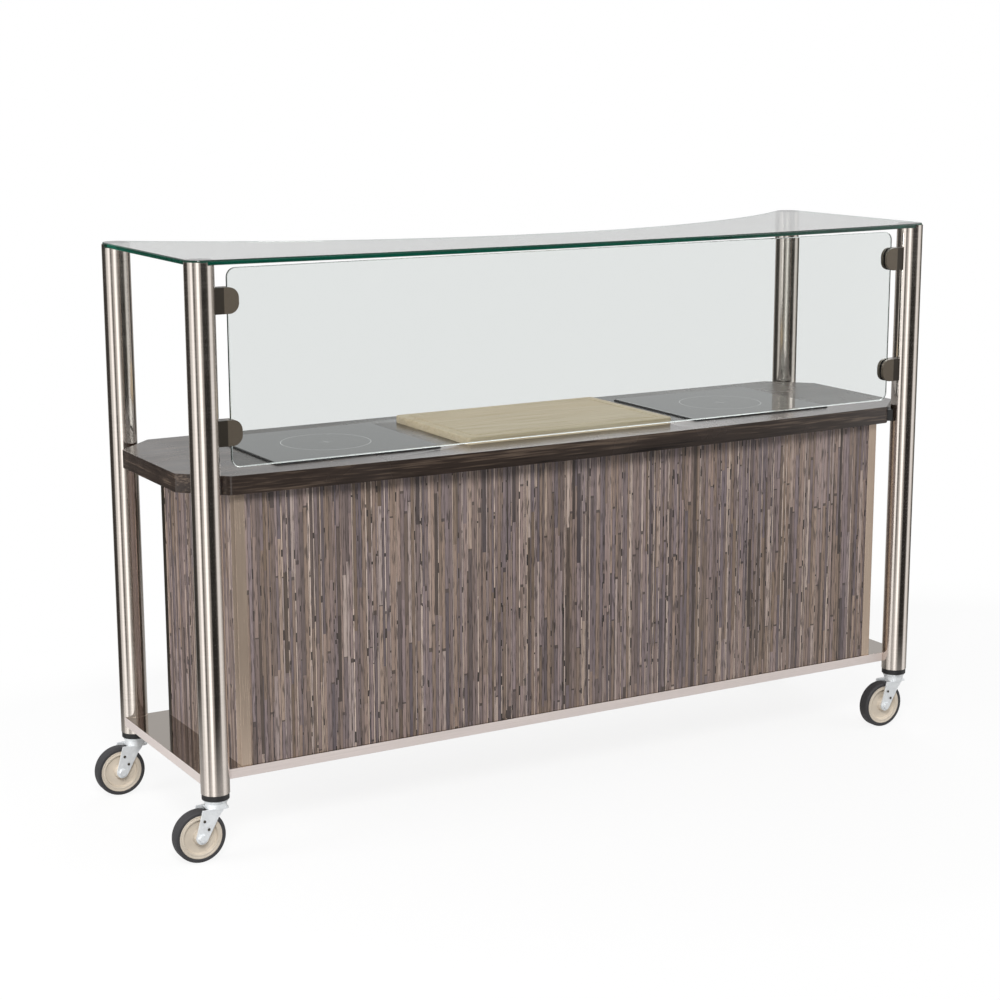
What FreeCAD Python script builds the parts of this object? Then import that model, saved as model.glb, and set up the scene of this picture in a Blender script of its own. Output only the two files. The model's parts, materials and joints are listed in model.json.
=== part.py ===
import FreeCAD, Part
import math
import os

V = FreeCAD.Vector

# Driving dimensions in millimetres. X runs along the cart, Y from the guests' side to the
# operator's side, Z up from the floor. Pieces are drawn about the middle of the four posts and
# moved at export, so that the frame's origin is under the middle of the overall box.

# posts
POST_SPACING_X = 2055.0
POST_SPACING_Y = 541.0
POST_R = 34.5
POST_WALL = 2.0
POST_BOTTOM = 163.0
POST_BORE_R = POST_R - POST_WALL
PX = POST_SPACING_X / 2
PY = POST_SPACING_Y / 2

# canopy glass
CANOPY_UNDER = 1401.0
CANOPY_THICK = 12.0
CANOPY_TOP = CANOPY_UNDER + CANOPY_THICK
POST_TOP = CANOPY_TOP - 5.0
CANOPY_CORNER_R = POST_BORE_R - 0.5
CANOPY_FRONT_REACH = 80.0
CANOPY_WAIST_Y = -65.0
CANOPY_SLOT_CLEAR = 0.7
PAD_THICK = 2.0
PLUG_TALL = 20.0

# front glass and its clamps
GUARD_THICK = 10.0
GUARD_SIDE = 65.0
GUARD_TOP = CANOPY_UNDER - 10.0
GUARD_CORNER_R = 22.0
CLAMP_REACH = 54.0
CLAMP_TALL = 60.0
CLAMP_THICK = 30.0
CLAMP_END_R = 24.0
CLAMP_NECK = 18.0
CLAMP_RIB = 9.0
GASKET_THICK = 1.5
SCREW_R = 2.5
SCREW_PITCH = 32.0
POST_SCREW_R = 3.0
HOLE_CLEAR = 0.3
WELD_NUT_R = 7.0
WELD_NUT_DEPTH = 9.0

# counter
COUNTER_TOP = 914.0
COUNTER_THICK = 45.0
COUNTER_UNDER = COUNTER_TOP - COUNTER_THICK
GUARD_BOTTOM = COUNTER_TOP + 19.0
CLAMP_LOW = COUNTER_TOP + 102.0
CLAMP_HIGH = CANOPY_UNDER - 83.0
COUNTER_END = PX + 38.0
COUNTER_FRONT = PY + 4.0
COUNTER_BOW = 27.0
COUNTER_BACK = PY + 9.0
COUNTER_CORNER_R = 12.0
SADDLE_GAP = 6.0
SADDLE_WIDE = 44.0
SADDLE_BOTTOM = COUNTER_UNDER + 2.0
SADDLE_TOP = COUNTER_TOP - 12.0
STUD_R = 5.0
WASHER_R = 11.0
WASHER_THICK = 2.0
NUT_ACROSS = 17.0
STUD_POCKET_NEAR = 25.0
STUD_POCKET_LONG = 34.0
STUD_POCKET_WIDE = 34.0
STUD_POCKET_TALL = 34.0

# base shelf
BASE_TOP = 207.0
BASE_TALL = 24.0
BASE_SHEET = 2.0
BASE_END = PX + 31.0
BASE_FRONT = PY - 13.5
BASE_BACK = PY - 13.5
BASE_RIB_TALL = 18.0
BASE_RIB_WIDE = 60.0
BASE_RIB_Y = 130.0
BASE_RIB_SHORT = 90.0

# cabinet
FACING = 4.0
BOARD = 18.0
CAB_END = PX - 78.0
CAB_FRONT = BASE_FRONT - 7.0
CAB_BACK = PY - 48.0
TRIM = 1.5
TRIM_WIDE = 24.0
TRIM_CLEAR = 0.3
EDGE_TRIM_DEEP = 16.0
RAIL = 30.0
RAIL_WALL = 2.0
DIVIDER = 18.0
SHELF_TOP = 488.0
SHELF_SET_BACK = 20.0
PIN_R = 3.0
PIN_IN = 8.0
PIN_OUT = 10.0

# hobs and cutting board
HOB_X = 600.0
HOB_WIDE = 440.0
HOB_DEEP = 400.0
HOB_GLASS = 5.0
HOB_LAP = 14.0
HOB_TRAY_GAP = 3.0
HOB_TRAY_TALL = 62.0
TRAY_SHEET = 1.5
COIL_R = 115.0
COIL_HOLE_R = 22.0
COIL_THICK = 10.0
COIL_BELOW_GLASS = 3.0
FAN_R = 48.0
FAN_HUB_R = 17.0
FAN_TALL = 18.0
FAN_PIN_R = 2.5
FAN_ASIDE = 105.0
AIR_HOLE_R = 9.0
AIR_HOLE_CIRCLE_R = 32.0
CARD_X0 = 80.0
CARD_X1 = 190.0
CARD_HALF_DEEP = 110.0
CARD_THICK = 2.0
CARD_UP = 8.0
CARD_EDGE = 10.0
COIL_STAND = 60.0
BOARD_WIDE = 610.0
BOARD_DEEP = 400.0
BOARD_THICK = 28.0
BOARD_RECESS = 10.0
BOARD_CLEAR = 1.0
BOARD_CORNER_R = 12.0

# operator's side
FASCIA_SHEET = 1.5
FASCIA_BOTTOM = COUNTER_UNDER - 127.0
FASCIA_FOLD = 22.0
SLOT_GROUP_X = 620.0
SLOT_PITCH = 18.0
SLOT_COUNT = 9
SLOT_WIDE = 6.0
SLOT_TALL = 52.0
LAMP_UP = 34.0
CONTROL_Z = COUNTER_UNDER - 74.0
KNOB_X = 450.0
KNOB_R = 23.0
KNOB_TALL = 26.0
KNOB_GRIP = 10.0
KNOB_GAP = 1.0
SHAFT_R = 3.0
RUNNING_FIT = 0.05
SWITCH_X = 140.0
SWITCH_WIDE = 26.0
SWITCH_TALL = 40.0
SWITCH_TILT = 8.0
SWITCH_LIP = 3.0
SWITCH_PIVOT_R = 1.5
INLET_X = 790.0
INLET_R = 26.0
INLET_PIN_R = 3.0
INLET_PIN_ROOT_R = 2.5
INLET_PIN_CIRCLE_R = 13.0
INLET_FLOOR = 10.0
BOX_X0 = 40.0
BOX_X1 = 240.0
BOX_DEEP = 92.0
BOX_Z1 = COUNTER_UNDER - 44.0
BOX_Z0 = BOX_Z1 - 105.0
CONDUIT_R = 10.0
CONDUIT_BEND = 40.0
CONDUIT_Z = COUNTER_UNDER - 69.0
CABLE_R = 4.0

# casters
WHEEL_R = 63.5
WHEEL_WIDE = 32.0
TREAD = 10.0
CASTER_TRAIL = 45.0
COLLAR_TALL = 14.0
COLLAR_R = POST_R - 1.5
INSERT_UP = 70.0
STEM_R = 11.0
CAP_R = 29.0
CAP_TALL = 6.0
KINGPIN_R = 6.0
SWIVEL_GAP = 0.3
CROWN_UNDER = 126.3
CROWN_THICK = 4.0
CROWN_HALF_LONG = 25.0
TRACK_R = 26.0
TRACK_BORE_R = 17.0
FORK_SHEET = 4.0
FORK_INSIDE = 20.0
LEG_UP = 4.0
LEG_BACK = 42.0
LEG_AHEAD = 10.0
LEG_BEND_BACK = 2.0
LEG_BEND_DOWN = 20.0
AXLE_R = 5.0
BUSH_R = 6.5
BOSS_R = 15.0

# middle of the overall box: the trailing casters reach out to -X, the bowed canopy to -Y
BOX_X_MIN = -(PX + CASTER_TRAIL + WHEEL_R)
BOX_X_MAX = COUNTER_END
BOX_Y_MIN = -(PY + CANOPY_FRONT_REACH)
BOX_Y_MAX = PY + POST_R
FRAME = V(-(BOX_X_MIN + BOX_X_MAX) / 2, -(BOX_Y_MIN + BOX_Y_MAX) / 2, 0)

CORNERS = {"left_front": (-1, -1), "right_front": (1, -1), "left_back": (-1, 1), "right_back": (1, 1)}
UP = V(0, 0, 1)


def block(x0, x1, y0, y1, z0, z1):
    """Box between six planes."""
    return Part.makeBox(x1 - x0, y1 - y0, z1 - z0, V(x0, y0, z0))


def rod(r, length, start, axis=UP):
    """Round bar from a start point along an axis."""
    return Part.makeCylinder(r, length, start, axis)


def round_upright(solid, r):
    """Round the vertical edges of a prism."""
    edges = [e for e in solid.Edges if abs(e.tangentAt(e.FirstParameter).z) > 0.99]
    return solid.makeFillet(r, edges)


def plate(points, direction):
    """Prism from a closed polygon."""
    return Part.Face(Part.makePolygon(points + [points[0]])).extrude(direction)


def hexagon(across, tall, start, axis):
    """Hexagon prism whose axis passes through the start point."""
    r = across / math.sqrt(3)
    corners = [math.radians(60 * i) for i in range(6)]
    points = [V(r * math.cos(a), r * math.sin(a), 0) for a in corners]
    prism = plate(points, V(0, 0, tall))
    prism.Placement = FreeCAD.Placement(start, FreeCAD.Rotation(UP, axis))
    return prism


def mirror_x(shape):
    """The same piece at the other end of the cart."""
    return shape.mirror(V(0, 0, 0), V(1, 0, 0))


def turned(shape, degrees, point, axis):
    """A copy turned about an axis."""
    out = shape.copy()
    out.rotate(point, axis, degrees)
    return out


def bent_pipe(r, a, corner, b, bend):
    """Round pipe from a to b with one bend near the corner point."""
    u = (a - corner).normalize()
    w = (b - corner).normalize()
    p = corner + u * bend
    q = corner + w * bend
    centre = corner + u * bend + w * bend
    m = centre - (u + w) * (bend / math.sqrt(2))
    path = Part.Wire([Part.makeLine(a, p), Part.Arc(p, m, q).toShape(), Part.makeLine(q, b)])
    profile = Part.Wire(Part.makeCircle(r, a, u))
    return path.makePipeShell([profile], True, False)


def save(name, shapes):
    """Write one node, moved into the overall frame."""
    shapes = shapes if isinstance(shapes, list) else [shapes]
    for shape in shapes:
        solid = len(shape.Solids) == 1 and shape.isValid()
        print(name, "ok" if solid else "NOT ONE VALID SOLID", round(shape.Volume / 1000, 2), "cm3")
    out = shapes[0].copy() if len(shapes) == 1 else Part.makeCompound(shapes)
    out.translate(FRAME)
    out.exportStep("parts/%s.step" % name)


def canopy_outline(grow):
    """Canopy plan: corners about the post axes, a bowed front and a hollow back, all tangent."""
    r = CANOPY_CORNER_R + grow
    reach = CANOPY_FRONT_REACH + grow
    front_r = (PX * PX + reach * reach - r * r) / (2 * (reach - r))
    front_c = V(0, front_r - PY - reach, 0)
    waist = CANOPY_WAIST_Y + grow
    back_r = (PX * PX + (waist - PY) ** 2 - r * r) / (2 * (r - waist + PY))
    back_c = V(0, waist + back_r, 0)
    front_post = V(PX, -PY, 0)
    back_post = V(PX, PY, 0)
    front_touch = front_post + (front_post - front_c).normalize() * r
    back_touch = back_post + (back_c - back_post).normalize() * r
    front_mid = front_post + V(math.cos(math.radians(-45)), math.sin(math.radians(-45)), 0) * r
    back_mid = back_post + V(math.cos(math.radians(60)), math.sin(math.radians(60)), 0) * r
    flip = lambda p: V(-p.x, p.y, p.z)
    front_nose = V(0, -PY - reach, 0)
    back_nose = V(0, waist, 0)
    end_a = front_post + V(r, 0, 0)
    end_b = back_post + V(r, 0, 0)
    edges = [
        Part.Arc(flip(front_touch), front_nose, front_touch).toShape(),
        Part.Arc(front_touch, front_mid, end_a).toShape(),
        Part.makeLine(end_a, end_b),
        Part.Arc(end_b, back_mid, back_touch).toShape(),
        Part.Arc(back_touch, back_nose, flip(back_touch)).toShape(),
        Part.Arc(flip(back_touch), flip(back_mid), flip(end_b)).toShape(),
        Part.makeLine(flip(end_b), flip(end_a)),
        Part.Arc(flip(end_a), flip(front_mid), flip(front_touch)).toShape(),
    ]
    return Part.Face(Part.Wire(edges))


def canopy():
    glass = canopy_outline(0).extrude(V(0, 0, CANOPY_THICK))
    rims = [e for e in glass.Edges if abs(e.BoundBox.ZLength) < 0.01]
    glass = glass.makeChamfer(1.0, rims)
    glass.translate(V(0, 0, CANOPY_UNDER))
    return glass


def inward(sx, sy):
    """Unit vector from a post towards the middle of the cart, on the diagonal."""
    return V(-sx, -sy, 0).normalize()


def stud_level():
    return (SADDLE_BOTTOM + SADDLE_TOP) / 2


def clamp_holes_in_post(sx):
    holes = []
    for level in (CLAMP_LOW, CLAMP_HIGH):
        holes.append(rod(POST_SCREW_R + HOLE_CLEAR, POST_R + 5, V(sx * PX, -PY, level), V(-sx, 0, 0)))
    return holes


def post(sx, sy):
    """Tube cut down inside the canopy's outline, so that its outer wall stands round the glass."""
    centre = V(sx * PX, sy * PY, POST_BOTTOM)
    tall = POST_TOP - POST_BOTTOM
    tube = rod(POST_R, tall, centre).cut(rod(POST_BORE_R, tall, centre))
    slot = canopy_outline(CANOPY_SLOT_CLEAR).extrude(V(0, 0, CANOPY_THICK + 5))
    slot.translate(V(0, 0, CANOPY_UNDER - CANOPY_SLOT_CLEAR))
    tube = tube.cut(slot)
    tube = tube.cut(rod(STUD_R, POST_R + 5, V(sx * PX, sy * PY, stud_level()), inward(sx, sy)))
    if sy < 0:
        for hole in clamp_holes_in_post(sx):
            tube = tube.cut(hole)
    return tube


def plugs_and_pads():
    plugs = []
    pads = []
    for sx, sy in CORNERS.values():
        top = CANOPY_UNDER - PAD_THICK
        plugs.append(rod(POST_BORE_R, PLUG_TALL, V(sx * PX, sy * PY, top - PLUG_TALL)))
        pads.append(rod(POST_BORE_R - 3, PAD_THICK, V(sx * PX, sy * PY, top)))
    return plugs, pads


def front_glass():
    half = PX - GUARD_SIDE
    glass = block(-half, half, -PY - GUARD_THICK / 2, -PY + GUARD_THICK / 2, GUARD_BOTTOM, GUARD_TOP)
    corners = [e for e in glass.Edges if abs(e.tangentAt(e.FirstParameter).y) > 0.99]
    return glass.makeFillet(GUARD_CORNER_R, corners)


def clamp(level):
    """One clamp on the left post: body, cover, two gaskets, two jaw screws and the post screw."""
    axis_x = -PX
    near = axis_x + POST_R
    tip = near + CLAMP_REACH
    t = CLAMP_THICK / 2
    z0 = level - CLAMP_TALL / 2
    z1 = level + CLAMP_TALL / 2
    head = block(axis_x + 20, tip, -PY - t, -PY + t, z0, z1)
    level_edges = [e for e in head.Edges if abs(e.tangentAt(e.FirstParameter).y) > 0.99]
    ends = [e for e in level_edges if e.Vertexes[0].X > near]
    head = head.makeFillet(CLAMP_END_R, ends)
    head = head.cut(rod(POST_R, CLAMP_TALL + 2, V(axis_x, -PY, z0 - 1)))
    neck = near + CLAMP_NECK
    rib = neck + CLAMP_RIB
    jaw = GUARD_THICK / 2 + GASKET_THICK
    slot = block(rib, tip + 1, -PY - jaw, -PY + jaw, z0 - 1, z1 + 1)
    front = block(neck, tip + 1, -PY - t - 1, -PY + jaw, z0 - 1, z1 + 1)
    cover = head.common(front).cut(slot)
    body = head.cut(front).cut(slot)
    gaskets = []
    for side in (-1, 1):
        y0 = -PY + side * (GUARD_THICK / 2 + GASKET_THICK / 2)
        pad = block(rib + 1, tip - 2, y0 - GASKET_THICK / 2, y0 + GASKET_THICK / 2, z0 + 2, z1 - 2)
        gaskets.append(pad.common(head))
    screws = []
    mid = neck + CLAMP_RIB / 2
    for dz in (-SCREW_PITCH / 2, SCREW_PITCH / 2):
        back = V(mid, -PY + t, level + dz)
        shank = rod(SCREW_R, t + 9, back, V(0, -1, 0))
        head_in = rod(SCREW_R + 2, 3.5, back, V(0, -1, 0))
        screws.append(shank.fuse(head_in))
        body = body.cut(rod(SCREW_R, t + 9, back, V(0, -1, 0))).cut(head_in)
        cover = cover.cut(rod(SCREW_R, t + 9, back, V(0, -1, 0)))
    seat = V(neck - 6, -PY, level)
    body = body.cut(rod(POST_SCREW_R, 60, seat, V(-1, 0, 0))).cut(rod(POST_SCREW_R + 2.5, 8, seat))
    body = body.cut(rod(POST_SCREW_R + 2.5, 8, seat, V(1, 0, 0)))
    screw_end = axis_x + POST_BORE_R - WELD_NUT_DEPTH - 3
    post_screw = rod(POST_SCREW_R, seat.x - screw_end, seat, V(-1, 0, 0))
    post_screw = post_screw.fuse(rod(POST_SCREW_R + 2, 5.5, seat, V(1, 0, 0)))
    nut = weld_nut(V(axis_x, -PY, level), V(1, 0, 0), POST_SCREW_R)
    return body, cover, gaskets, screws, post_screw, nut


def weld_nut(centre, direction, bore):
    """Round nut welded to a post's inner wall, its outer end shaped to the wall."""
    inner = POST_BORE_R - WELD_NUT_DEPTH
    nut = rod(WELD_NUT_R, WELD_NUT_DEPTH + 5, centre + direction * inner, direction)
    nut = nut.common(rod(POST_BORE_R, 60, centre - V(0, 0, 30)))
    return nut.cut(rod(bore, POST_R, centre, direction))


def clip_distance():
    """Distance from a post's axis to the counter's clipped corner."""
    return POST_R + SADDLE_GAP


def along(sx, sy, distance, z):
    """Point on the diagonal from a post towards the middle."""
    return V(sx * PX, sy * PY, z) + inward(sx, sy) * distance


def diagonal_block(sx, sy, near, far, wide, z0, z1):
    """Box lying along the diagonal of one corner."""
    bar = block(near, far, -wide / 2, wide / 2, z0, z1)
    d = inward(sx, sy)
    bar.rotate(V(0, 0, 0), UP, math.degrees(math.atan2(d.y, d.x)))
    bar.translate(V(sx * PX, sy * PY, 0))
    return bar


def counter():
    """Slab with a bowed front, clipped corners, two hob openings and the board's recess."""
    reach = PX + PY - clip_distance() * math.sqrt(2)
    left = [V(-(reach - COUNTER_BACK), COUNTER_BACK, 0), V(-COUNTER_END, reach - COUNTER_END, 0),
            V(-COUNTER_END, COUNTER_END - reach, 0), V(-(reach - COUNTER_FRONT), -COUNTER_FRONT, 0)]
    right = [V(-p.x, p.y, 0) for p in reversed(left)]
    bow = Part.Arc(left[3], V(0, -COUNTER_FRONT - COUNTER_BOW, 0), right[0]).toShape()
    edges = [Part.makeLine(a, b) for a, b in zip(left[:-1], left[1:])]
    edges.append(bow)
    edges += [Part.makeLine(a, b) for a, b in zip(right[:-1], right[1:])]
    edges.append(Part.makeLine(right[3], left[0]))
    slab = Part.Face(Part.Wire(edges)).extrude(V(0, 0, COUNTER_THICK))
    slab.translate(V(0, 0, COUNTER_UNDER))
    slab = round_upright(slab, COUNTER_CORNER_R)
    for sx in (-1, 1):
        x = sx * HOB_X
        w = HOB_WIDE / 2 - HOB_LAP
        d = HOB_DEEP / 2 - HOB_LAP
        slab = slab.cut(block(x - w, x + w, -d, d, COUNTER_UNDER - 1, COUNTER_TOP + 1))
    w = BOARD_WIDE / 2 + BOARD_CLEAR
    d = BOARD_DEEP / 2 + BOARD_CLEAR
    recess = block(-w, w, -d, d, COUNTER_TOP - BOARD_RECESS, COUNTER_TOP + 1)
    slab = slab.cut(round_upright(recess, BOARD_CORNER_R + BOARD_CLEAR))
    for sx, sy in CORNERS.values():
        near = clip_distance() + STUD_POCKET_NEAR
        pocket = diagonal_block(sx, sy, near, near + STUD_POCKET_LONG, STUD_POCKET_WIDE,
                                COUNTER_UNDER - 1, COUNTER_UNDER + STUD_POCKET_TALL)
        slab = slab.cut(pocket)
        slab = slab.cut(rod(STUD_R, near, along(sx, sy, 0, stud_level()), inward(sx, sy)))
    return slab


def corner_ties():
    """Saddles against the posts, and the studs and nuts that pull the counter to them."""
    saddles = []
    studs = []
    nuts = []
    for sx, sy in CORNERS.values():
        saddle = diagonal_block(sx, sy, 10, clip_distance(), SADDLE_WIDE, SADDLE_BOTTOM, SADDLE_TOP)
        saddle = saddle.cut(rod(POST_R, 200, V(sx * PX, sy * PY, COUNTER_UNDER - 50)))
        d = inward(sx, sy)
        centre = along(sx, sy, 0, stud_level())
        saddles.append(saddle.cut(rod(STUD_R, 100, centre, d)))
        near = clip_distance() + STUD_POCKET_NEAR
        start = POST_BORE_R - WELD_NUT_DEPTH
        studs.append(rod(STUD_R, near + 16 - start, along(sx, sy, start, stud_level()), d))
        seat = along(sx, sy, near, stud_level())
        washer = rod(WASHER_R, WASHER_THICK, seat, d).cut(rod(STUD_R, WASHER_THICK, seat, d))
        nut = hexagon(NUT_ACROSS, 8.0, seat + d * WASHER_THICK, d)
        studs += [washer, nut.cut(rod(STUD_R, 60, centre + d * near, d))]
        nuts.append(weld_nut(centre, d, STUD_R))
    return saddles, studs, nuts


def base_shelf():
    """Folded pan with ribs under its top, its corners notched round the posts and welded to them."""
    pan = block(-BASE_END, BASE_END, -BASE_FRONT, BASE_BACK, BASE_TOP - BASE_TALL, BASE_TOP)
    s = BASE_SHEET
    hollow = block(-BASE_END + s, BASE_END - s, -BASE_FRONT + s, BASE_BACK - s,
                   BASE_TOP - BASE_TALL - 1, BASE_TOP - s)
    for sx, sy in CORNERS.values():
        hollow = hollow.cut(rod(POST_R + s, 200, V(sx * PX, sy * PY, 100)))
    pan = pan.cut(hollow)
    for y in (-BASE_RIB_Y, BASE_RIB_Y):
        end = PX - BASE_RIB_SHORT
        outer = block(-end, end, y - BASE_RIB_WIDE / 2, y + BASE_RIB_WIDE / 2,
                      BASE_TOP - s - BASE_RIB_TALL, BASE_TOP - s)
        inner = block(-PX, PX, y - BASE_RIB_WIDE / 2 + s, y + BASE_RIB_WIDE / 2 - s,
                      BASE_TOP - BASE_RIB_TALL, BASE_TOP - s)
        pan = pan.fuse(outer.cut(inner))
    for sx, sy in CORNERS.values():
        pan = pan.cut(rod(POST_R, 200, V(sx * PX, sy * PY, 100)))
    return pan.removeSplitter()


def pin_places():
    """Shelf pins: x of the face that holds the pin, the way it points, and y."""
    inside = CAB_END - FACING - BOARD
    places = []
    for y in (-160.0, 150.0):
        places += [(-inside, 1, y), (-DIVIDER / 2, -1, y), (DIVIDER / 2, 1, y), (inside, -1, y)]
    return places


def pin(x, way, y, r):
    z = SHELF_TOP - BOARD - PIN_R
    return rod(r, PIN_IN + PIN_OUT, V(x - way * PIN_IN, y, z), V(way, 0, 0))


def cabinet():
    """Boards, facings, trims, shelves and the tube frame under the counter."""
    z0 = BASE_TOP
    z1 = COUNTER_UNDER
    inner = CAB_END - FACING - BOARD
    face = CAB_END - FACING
    front_face = -CAB_FRONT + FACING
    front_inner = front_face + BOARD
    pieces = {}
    pieces["front_panel"] = [block(-inner, inner, front_face, front_inner, z0, z1)]
    left = block(-face, -inner, front_face, CAB_BACK, z0, z1)
    divider = block(-DIVIDER / 2, DIVIDER / 2, front_inner, CAB_BACK - 9, z0, z1 - RAIL)
    divider = divider.cut(rod(CONDUIT_R + 1, 60, V(-30, conduit_y(), CONDUIT_Z), V(1, 0, 0)))
    right = mirror_x(left)
    pins = []
    for x, way, y in pin_places():
        peg = pin(x, way, y, PIN_R)
        pins.append(peg)
        left = left.cut(peg)
        right = right.cut(peg)
        divider = divider.cut(peg)
    pieces["end_panels"] = [left, right]
    pieces["centre_divider"] = [divider]
    pieces["shelf_pins"] = pins
    pieces["front_facing"] = [block(-CAB_END, CAB_END, -CAB_FRONT, front_face, z0, z1)]
    side = block(-CAB_END, -face, front_face, CAB_BACK, z0, z1)
    pieces["end_facings"] = [side, mirror_x(side)]
    trim = block(-CAB_END - TRIM, -CAB_END + TRIM_WIDE, -CAB_FRONT - TRIM, -CAB_FRONT + TRIM_WIDE, z0, z1)
    trim = trim.cut(block(-CAB_END, 0, -CAB_FRONT, 0, z0 - 1, z1 + 1))
    pieces["corner_trims"] = [trim, mirror_x(trim)]
    cap = block(-CAB_END - TRIM, -inner + TRIM, CAB_BACK - EDGE_TRIM_DEEP, CAB_BACK + TRIM, z0, z1)
    cap = cap.cut(block(-CAB_END, -inner, 0, CAB_BACK, z0 - 1, z1 + 1))
    rail_room = block(-inner, 0, 0, rail_back() + TRIM_CLEAR, z1 - RAIL - TRIM_CLEAR, z1 + 1)
    cap = cap.cut(rail_room)
    pieces["back_edge_trims"] = [cap, mirror_x(cap)]
    shelf = block(-inner + 1, -DIVIDER / 2 - 1, front_inner + 1, CAB_BACK - SHELF_SET_BACK,
                  SHELF_TOP - BOARD, SHELF_TOP)
    pieces["shelves"] = [shelf, mirror_x(shelf)]
    return pieces


def rail_back():
    """Rear face of the tube frame, where the fascia is screwed on."""
    return CAB_BACK - 8.0


def top_frame():
    inner = CAB_END - FACING - BOARD
    y0 = -CAB_FRONT + FACING + BOARD
    y1 = rail_back()
    z0 = COUNTER_UNDER - RAIL
    w = RAIL_WALL

    def tube_x(y):
        return block(-inner, inner, y, y + RAIL, z0, z0 + RAIL).cut(
            block(-inner - 1, inner + 1, y + w, y + RAIL - w, z0 + w, z0 + RAIL - w))

    def tube_y(x):
        return block(x, x + RAIL, y0 + RAIL, y1 - RAIL, z0, z0 + RAIL).cut(
            block(x + w, x + RAIL - w, y0, y1, z0 + w, z0 + RAIL - w))

    back = tube_x(y1 - RAIL)
    for x in fascia_screw_places():
        back = back.cut(rod(SCREW_R, 14, V(x, y1 + 1, COUNTER_UNDER - RAIL / 2), V(0, -1, 0)))
    return [tube_x(y0), back, tube_y(-inner), tube_y(inner - RAIL)]


def fascia_screw_places():
    return [-860.0, -300.0, 300.0, 860.0]


def hob(sx):
    """Glass, tray with its fan pin and air holes, coil, power board and fan rotor."""
    x = sx * HOB_X
    glass = block(x - HOB_WIDE / 2, x + HOB_WIDE / 2, -HOB_DEEP / 2, HOB_DEEP / 2,
                  COUNTER_TOP, COUNTER_TOP + HOB_GLASS)
    glass = round_upright(glass, 8.0)
    rim = [e for e in glass.Edges if e.BoundBox.ZLength < 0.01 and e.Vertexes[0].Z > COUNTER_TOP + 1]
    glass = glass.makeChamfer(1.5, rim)
    w = HOB_WIDE / 2 - HOB_LAP - HOB_TRAY_GAP
    d = HOB_DEEP / 2 - HOB_LAP - HOB_TRAY_GAP
    s = TRAY_SHEET
    floor = COUNTER_TOP - HOB_TRAY_TALL
    tray = block(x - w, x + w, -d, d, floor, COUNTER_TOP)
    tray = tray.cut(block(x - w + s, x + w - s, -d + s, d - s, floor + s, COUNTER_TOP + 1))
    fx = x - FAN_ASIDE
    fy = 0.0
    tray = tray.fuse(rod(FAN_PIN_R, s + 3 + FAN_TALL, V(fx, fy, floor)))
    for i in range(8):
        a = math.radians(45 * i)
        hole = V(fx + AIR_HOLE_CIRCLE_R * math.cos(a), fy + AIR_HOLE_CIRCLE_R * math.sin(a), floor - 3)
        tray = tray.cut(rod(AIR_HOLE_R, 10, hole))
    coil_top = COUNTER_TOP - COIL_BELOW_GLASS
    coil_under = coil_top - COIL_THICK
    for px, py in CORNERS.values():
        tray = tray.fuse(rod(5.0, coil_under - floor, V(x + px * COIL_STAND, py * COIL_STAND, floor)))
    tray = tray.cut(rod(CONDUIT_R, 10, V(x, conduit_y(), floor - 3)))
    tray = tray.cut(rod(CABLE_R, 10, V(sx * KNOB_X, cable_y(), floor - 3)))
    middle = V(x, 0, coil_under)
    coil = rod(COIL_R, COIL_THICK, middle).cut(rod(COIL_HOLE_R, COIL_THICK, middle))
    card_z = floor + s + CARD_UP
    card = block(x + CARD_X0, x + CARD_X1, -CARD_HALF_DEEP, CARD_HALF_DEEP, card_z, card_z + CARD_THICK)
    for dx in (CARD_X0 + CARD_EDGE, CARD_X1 - CARD_EDGE):
        for dy in (-CARD_HALF_DEEP + CARD_EDGE, CARD_HALF_DEEP - CARD_EDGE):
            tray = tray.fuse(rod(4.0, s + CARD_UP, V(x + dx, dy, floor)))
    z0 = floor + s + 1.5
    rotor = rod(FAN_HUB_R, FAN_TALL, V(fx, fy, z0))
    for i in range(7):
        blade = block(FAN_HUB_R - 3, FAN_R, -1.0, 1.0, z0 + 2, z0 + FAN_TALL - 2)
        blade.rotate(V(0, 0, z0 + FAN_TALL / 2), V(1, 0, 0), 35)
        blade.rotate(V(0, 0, 0), UP, 360.0 / 7 * i)
        blade.translate(V(fx, fy, 0))
        rotor = rotor.fuse(blade)
    rotor = rotor.common(block(fx - 90, fx + 90, fy - 90, fy + 90, z0, z0 + FAN_TALL))
    rotor = rotor.cut(rod(FAN_PIN_R + RUNNING_FIT, FAN_TALL + 4, V(fx, fy, z0 - 2)))
    return glass, tray, coil, card, rotor.removeSplitter()


def conduit_y():
    """Line of the conduits, just inside the front edge of the hob trays."""
    return -(HOB_DEEP / 2 - HOB_LAP - HOB_TRAY_GAP) + CONDUIT_R + 6


def cable_y():
    return 150.0


def cutting_board():
    z0 = COUNTER_TOP - BOARD_RECESS
    board = block(-BOARD_WIDE / 2, BOARD_WIDE / 2, -BOARD_DEEP / 2, BOARD_DEEP / 2, z0, z0 + BOARD_THICK)
    board = round_upright(board, BOARD_CORNER_R)
    rim = [e for e in board.Edges if e.BoundBox.ZLength < 0.01 and e.Vertexes[0].Z > z0 + 1]
    board = board.makeFillet(3.0, rim)
    groove = block(-BOARD_WIDE / 2 + 24, BOARD_WIDE / 2 - 24, -BOARD_DEEP / 2 + 24, BOARD_DEEP / 2 - 24,
                   z0 + BOARD_THICK - 3, z0 + BOARD_THICK + 1)
    island = block(-BOARD_WIDE / 2 + 32, BOARD_WIDE / 2 - 32, -BOARD_DEEP / 2 + 32, BOARD_DEEP / 2 - 32,
                   z0 + BOARD_THICK - 4, z0 + BOARD_THICK + 2)
    return board.cut(round_upright(groove, 14.0).cut(round_upright(island, 8.0)))


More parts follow.
